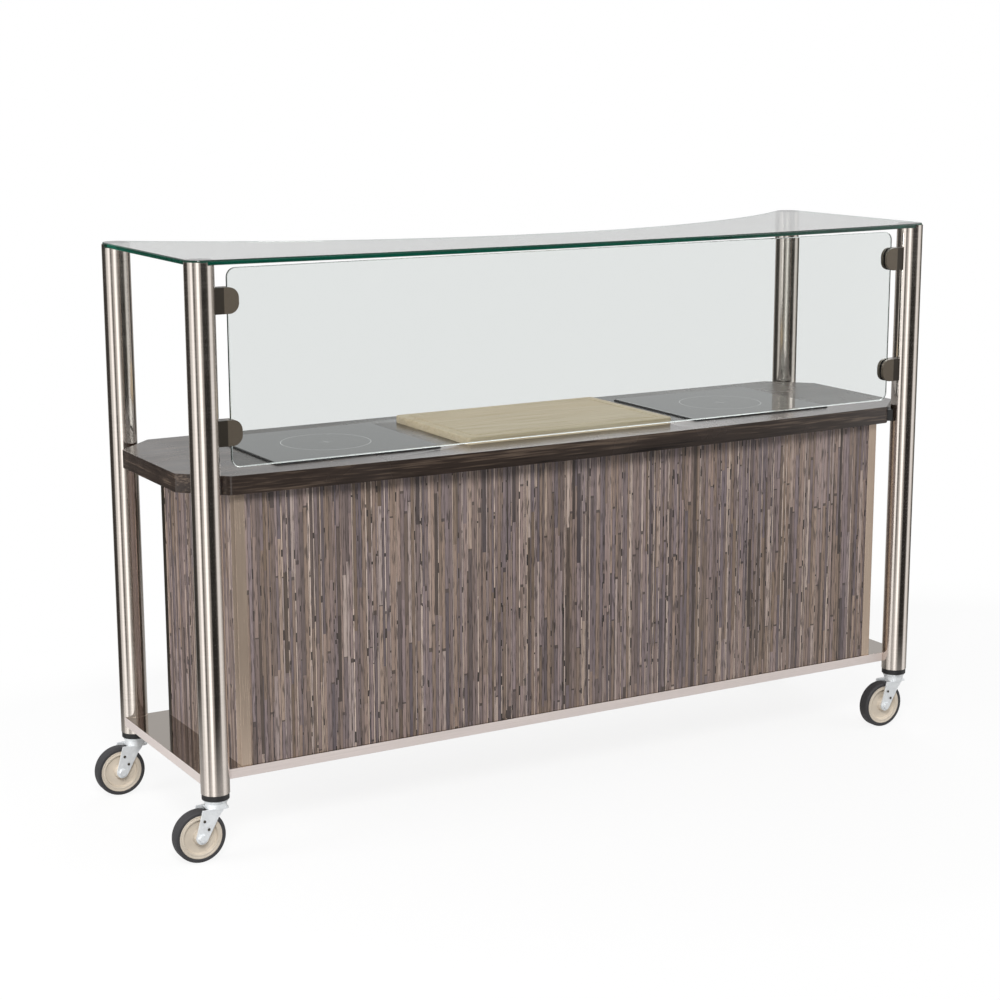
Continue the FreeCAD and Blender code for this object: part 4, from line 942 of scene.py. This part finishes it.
class CART_OT_board(bpy.types.Operator):
    """Build the cutting board with its juice groove"""
    bl_idname = "cart.board"
    bl_label = "Cutting board"

    def execute(self, context):
        """Rounded rectangles drawn in step by step: lower edge, rim, groove and flat middle."""
        foot, rim, corner = 0.001, 0.003, 0.012
        rim_corner, groove_corner = 0.009, 0.010
        groove_in, groove_wide, groove_deep = 0.024, 0.008, 0.003
        middle_in = 0.06
        low, high, middle, half = box_of("cutting_board")
        s = np.linspace(0.0, QUARTER, 5)
        across = np.linspace(0.0, 1.0, 11)
        insets = np.concatenate([foot * (1 - np.sin(s)), rim * (1 - np.cos(s)),
                                 groove_in + groove_wide * across, [middle_in]])
        levels = np.concatenate([low[2] + foot * (1 - np.cos(s)), high[2] - rim * (1 - np.sin(s)),
                                 high[2] - groove_deep * np.sin(across * HALF_TURN) ** 0.8, [high[2]]])
        loops = []
        for inset, z in zip(insets, levels):
            least = rim_corner if inset < groove_in else groove_corner
            plan = rounded_loop(half[0] - inset, half[1] - inset, max(corner - inset, least))
            loops.append(at_height(plan + middle[:2], z))
        dress(shells("board_block", [np.stack(loops)]), "cutting_board", "board_wood", "cutting_board")
        return {"FINISHED"}


class CART_OT_metalwork(bpy.types.Operator):
    """Round the edges of the clamps, trims, base shelf and other metal and board pieces"""
    bl_idname = "cart.metalwork"
    bl_label = "Metalwork"

    def execute(self, context):
        sizes = context.scene.cart_sizes
        softened("clamp_bodies", sizes.metal_round, 3)
        softened("clamp_covers", sizes.clamp_round, 4)
        for node in ("corner_trims", "back_edge_trims", "base_shelf", "control_fascia", "shelves",
                     "centre_divider", "end_panels"):
            softened(node, sizes.sheet_round)
        return {"FINISHED"}


class CART_OT_casters(bpy.types.Operator):
    """Turn the wheel cores and tyres, and round and rivet the forks"""
    bl_idname = "cart.casters"
    bl_label = "Casters"

    def execute(self, context):
        sizes = context.scene.cart_sizes
        for corner in CORNERS:
            softened("fork_" + corner, sizes.fork_round)
            softened("axle_" + corner, sizes.axle_round)
            self.wheel(corner, sizes.turned_steps)
            self.rivets(corner)
        return {"FINISHED"}

    def wheel(self, corner, steps):
        """Core and tyre, each a (radius, height) profile mirrored in the wheel's middle: the core has a hub,
        a thin web and a stepped rim, and the tyre a crowned tread."""
        centre, half = box_of("tyre_" + corner)[2:]
        k, r = half[1:]
        rim = box_of("wheel_core_" + corner)[3][2]
        h = k - 0.001
        hub = 0.0195
        core = [(0.00656, hub), (0.017, hub), (0.019, 0.010), (0.0405, 0.008), (0.0430, h), (0.0475, h),
                (0.0482, h - 0.0012), (0.0496, h), (rim, h)]
        tread = [(rim + 0.00002, k), (r - 0.0030, k), (r - 0.0008, k - 0.0025), (r, k - 0.006)]
        for name, slot, side, fillet in (("wheel_core", "wheel_core", core, 0.0012),
                                         ("tyre", "tyre_tread", tread, 0.0014)):
            profile = [(x, -y) for x, y in side] + side[::-1]
            loops = lathe_loops(rounded_profile(profile, fillet), centre, steps)
            made = shells(name + "_turned_" + corner, [loops], closed=True)
            dress(made, "wheel_" + corner, slot, name + "_" + corner)

    def rivets(self, corner):
        """Two domed rivets on the outer face of each leg: r cos s outwards from the rivet's axis, and tall
        sin s off the face. They stand ahead of the wheel's axis and above it."""
        r, tall, least = 0.0033, 0.0014, 0.0002
        places = ((0.006, 0.041), (0.016, 0.020))
        axle = box_of("tyre_" + corner)[2]
        low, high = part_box("fork_" + corner)
        s = np.linspace(-0.15, QUARTER, 6)
        domes = []
        for face, way in ((low.y, -1), (high.y, 1)):
            dome = np.column_stack([r * np.cos(s) + least, way * tall * np.sin(s)])
            domes += [lathe_loops(dome, (axle[0] + ahead, face, axle[2] + up), 24) for ahead, up in places]
        dress(shells("fork_rivets_" + corner, domes), "caster_" + corner, "dark_trim")


class CART_OT_controls(bpy.types.Operator):
    """Build the knobs with their pointers and the printed ticks on the fascia"""
    bl_idname = "cart.controls"
    bl_label = "Controls"

    def execute(self, context):
        sizes = context.scene.cart_sizes
        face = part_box("control_fascia")[1].y
        gap, tick_gap = 0.001, 0.005
        angles = np.radians(90.0 + np.linspace(0.0, 270.0, 10))
        ticks = []
        for side in ("left", "right"):
            high, middle, half = box_of("knob_" + side)[1:]
            centre = middle * [1.0, 0.0, 1.0]
            self.knob(side, centre, half[0], face + gap, high[1], sizes.turned_steps)
            ticks += self.ticks(centre, half[0] + tick_gap, sizes.tick_long, angles, face)
        dress(shells("dial_ticks", ticks), "cart", "dark_trim")
        return {"FINISHED"}

    def knob(self, side, centre, r, foot, top, steps):
        """Turned skirt with flutes r (1 - depth (1 + cos 24 a) / 2), a bar grip whose rounded plan shrinks
        towards its top, a shaft, and a raised pointer."""
        flute_deep, flute_count = 0.012, 24
        skirt = np.array([(r - 0.0006, 0.0), (r, 0.0008), (r, 0.007), (r - 0.0008, 0.009),
                          (r - 0.003, 0.0105), (0.004, 0.0105)])
        skirt = lathe_loops(skirt + [0.0, foot], centre, steps)
        a = np.linspace(0.0, TURN, steps, endpoint=False)
        flutes = 1.0 - flute_deep * (0.5 + 0.5 * np.cos(a * flute_count))
        axis = centre[[0, 2]]
        skirt[1:3, :, ::2] = axis + (skirt[1:3, :, ::2] - axis) * flutes[:, None]
        bar_half, bar_corner, bar_round, bar_from = 0.005, 0.004, 0.002, 0.009
        bar_long = r - 0.0008
        s = np.linspace(0.0, QUARTER, 5)
        rise = np.concatenate([[bar_from], top - foot - bar_round * (1 - np.sin(s))])
        inset = np.concatenate([[0.0], 0.0006 + bar_round * (1 - np.cos(s))])
        bar = np.stack([at_depth(rounded_loop(bar_half - i, bar_long - i, bar_corner - i) + axis, foot + z)
                        for i, z in zip(inset, rise)])
        shaft = np.array([(0.003, -0.0165), (0.003, 0.002)])
        shaft = lathe_loops(shaft + [0.0, foot], centre, 32)
        made = shells("knob_grip_" + side, [skirt, bar, shaft])
        dress(made, "knob_" + side, "black_nylon", "knob_" + side)
        middle = axis + [0.0, r - 0.0095]
        levels = ((0.0, -0.0002), (0.0, 0.0002), (0.0002, 0.0003))
        line = np.stack([at_depth(rounded_loop(0.0009 - i, 0.0055 - i, 0.0008 - i) + middle, top + y)
                         for i, y in levels])
        dress(shells("knob_pointer_" + side, [line]), "knob_" + side, "wheel_core")

    def ticks(self, centre, r, long, angles, face):
        """Thin bars on the fascia, each lying along a ray from the knob's axis."""
        plan = rounded_loop(long / 2, 0.0007, 0.0006, 3)
        along, aside = plan[:, 0] + r + long / 2, plan[:, 1]
        parts = []
        for a in angles:
            x = centre[0] + along * math.cos(a) - aside * math.sin(a)
            z = centre[2] + along * math.sin(a) + aside * math.cos(a)
            bar = np.column_stack([x, z])
            parts.append(np.stack([at_depth(bar, y) for y in (face - 0.0001, face + 0.00015)]))
        return parts


class CART_OT_stage(bpy.types.Operator):
    """Lay the floor, set the lights and place the camera"""
    bl_idname = "cart.stage"
    bl_label = "Stage"

    def execute(self, context):
        scene = context.scene
        stage = scene.cart_stage
        scene.view_settings.view_transform = "Standard"
        self.floor()
        self.surround(stage)
        self.world(scene, stage.sky)
        for name, (place, aim, size) in LAMPS.items():
            made = self.lamp(name + "_light", place, aim, size, getattr(stage, name))
            made.visible_glossy = name != "end"
        self.camera(scene, stage)
        return {"FINISHED"}

    def floor(self):
        """Flat square grid about the middle. Metal reflects it only near the cart, and it throws little light
        upwards."""
        half = 9.0
        y, x = np.meshgrid(np.linspace(-half, half, 7), np.linspace(-half, half, 7))
        made = open_sheet("floor", np.stack([x, y, np.zeros_like(x)], axis=-1))
        t = principled("floor", Roughness=0.9, Base_Color=(0.93, 0.93, 0.93, 1.0), Specular_IOR_Level=0.0)
        place = t.add("VectorMath", {0: t.place, 1: (0.8, 1.5, 1.0)}, operation="MULTIPLY").outputs[0]
        far = t.add("VectorMath", {0: place}, operation="LENGTH").outputs["Value"]
        rays = t.add("LightPath").outputs
        fade = t.span(far, 0.3, 2.4, interpolation_type="SMOOTHSTEP")
        white = t.add("Emission", {"Color": WHITE, "Strength": 1.0})
        seen = t.either(t.larger(fade, t.times(rays["Is Camera Ray"], 0.86)), t.shader, white)
        dark = t.add("Emission", {"Strength": 0.0})
        seen = t.either(t.times(rays["Is Diffuse Ray"], 0.6), seen, dark)
        wide = t.span(far, 0.9, 2.2, interpolation_type="SMOOTHSTEP")
        gone = t.times(rays["Is Glossy Ray"], t.fade(wide, 0.5, 1.0))
        t.show(t.either(gone, seen, t.add("BsdfTransparent")))
        made.data.materials.append(bpy.data.materials["floor"])

    def surround(self, stage):
        """Wide upright cylinder that only metal and glass reflect: (R cos a, R sin a, z). Upright surfaces
        mirror its lower half, toned by the angle from the camera's side; level surfaces mirror its even upper
        half."""
        radius, tall, step = 60.0, 42.0, 1.5
        towards = math.atan2(stage.camera_place[1], stage.camera_place[0])
        turn, z = np.meshgrid(np.linspace(-180.0, 180.0, 145), [-tall, -step, step, tall])
        a = towards + np.radians(turn)
        grid = np.stack([radius * np.cos(a), radius * np.sin(a), z], axis=-1)
        made = open_sheet("surround", grid, turn=turn, upper=np.where(z > 0.0, 1.0, 0.0))
        material = bpy.data.materials.new("surround")
        material.use_nodes = True
        t = Tree(material.node_tree)
        stops = []
        for degrees, level in SURROUND_BANDS:
            k = level / SURROUND_BRIGHTEST
            warm = 1.0 - min(level, 1.0)
            stops.append(((degrees + 180.0) / 360.0, (k, k * (1 - 0.05 * warm), k * (1 - 0.12 * warm), 1.0)))
        shade = t.ramp(t.span(t.attribute("turn"), -180.0, 180.0), *stops)
        shade = t.blend(t.attribute("upper"), shade, scaled(WHITE, SURROUND_UPPER))
        light = t.add("Emission", {"Color": shade, "Strength": SURROUND_BRIGHTEST})
        mirrored = t.above(t.add("LightPath").outputs["Glossy Depth"], 0.5)
        both = t.either(mirrored, t.add("BsdfTransparent"), light)
        t.add("OutputMaterial", {"Surface": both.outputs[0]})
        made.data.materials.append(material)
        made.visible_camera = False
        made.visible_diffuse = False
        made.visible_shadow = False

    def world(self, scene, strength):
        """Even light on the object, and plain white where the camera, metal and glass see past it."""
        world = bpy.data.worlds.new("studio")
        scene.world = world
        world.use_nodes = True
        t = Tree(world.node_tree)
        rays = t.add("LightPath").outputs
        seen = t.larger(rays["Is Camera Ray"], t.larger(rays["Is Glossy Ray"], rays["Is Transmission Ray"]))
        light = t.add("Background", {"Color": WHITE, "Strength": t.fade(seen, strength, 1.0)})
        t.add("OutputWorld", {"Surface": light.outputs[0]})

    def lamp(self, name, place, aim, size, power):
        """Square lamp that is turned towards its aim."""
        data = bpy.data.lights.new(name, "AREA")
        data.size = size
        data.energy = power
        made = new_object(name, data)
        made.location = place
        away = np.array(place) - np.array(aim)
        made.rotation_euler = (math.atan2(math.hypot(away[0], away[1]), away[2]), 0.0,
                               math.atan2(away[1], away[0]) + QUARTER)
        return made

    def camera(self, scene, stage):
        """Camera with its axes worked out from yaw, pitch and roll."""
        data = bpy.data.cameras.new("camera")
        data.sensor_width = 36.0
        data.sensor_fit = "HORIZONTAL"
        data.lens = stage.camera_lens
        made = new_object("camera", data)
        yaw, pitch, roll = stage.camera_yaw, stage.camera_pitch, stage.camera_roll
        level = math.cos(pitch)
        forward = np.array([math.sin(yaw) * level, math.cos(yaw) * level, -math.sin(pitch)])
        right = np.array([math.cos(yaw), -math.sin(yaw), 0.0])
        up = np.cross(right, forward)
        side = right * math.cos(roll) + up * math.sin(roll)
        over = -right * math.sin(roll) + up * math.cos(roll)
        matrix = np.eye(4)
        matrix[:3] = np.column_stack([side, over, -forward, stage.camera_place])
        made.matrix_world = Matrix(matrix.tolist())
        scene.camera = made


OPERATORS = (CART_OT_finishes, CART_OT_strip_facings, CART_OT_glass, CART_OT_counter, CART_OT_hobs,
             CART_OT_board, CART_OT_metalwork, CART_OT_casters, CART_OT_controls, CART_OT_stage)


class CART_PT_sidebar(bpy.types.Panel):
    """Lists the pieces of the cart and their settings"""
    bl_idname = "CART_PT_sidebar"
    bl_label = "Cooking cart"
    bl_space_type = "VIEW_3D"
    bl_region_type = "UI"
    bl_category = "Cart"

    def draw(self, context):
        for operator in OPERATORS:
            self.layout.operator(operator.bl_idname)
        for settings in (context.scene.cart_sizes, context.scene.cart_colours, context.scene.cart_stage):
            box = self.layout.box()
            for name in settings.bl_rna.properties.keys():
                if name not in ("rna_type", "name"):
                    box.prop(settings, name)


CLASSES = (CartSizes, CartColours, CartStage) + OPERATORS + (CART_PT_sidebar,)


def register():
    for made in CLASSES:
        bpy.utils.register_class(made)
    bpy.types.Scene.cart_sizes = PointerProperty(type=CartSizes)
    bpy.types.Scene.cart_colours = PointerProperty(type=CartColours)
    bpy.types.Scene.cart_stage = PointerProperty(type=CartStage)


def unregister():
    del bpy.types.Scene.cart_stage
    del bpy.types.Scene.cart_colours
    del bpy.types.Scene.cart_sizes
    for made in reversed(CLASSES):
        bpy.utils.unregister_class(made)


def main():
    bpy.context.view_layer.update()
    register()
    bpy.ops.cart.finishes()
    bpy.ops.cart.strip_facings()
    bpy.ops.cart.glass()
    bpy.ops.cart.counter()
    bpy.ops.cart.hobs()
    bpy.ops.cart.board()
    bpy.ops.cart.metalwork()
    bpy.ops.cart.casters()
    bpy.ops.cart.controls()
    bpy.ops.cart.stage()


if __name__ == "__main__":
    main()
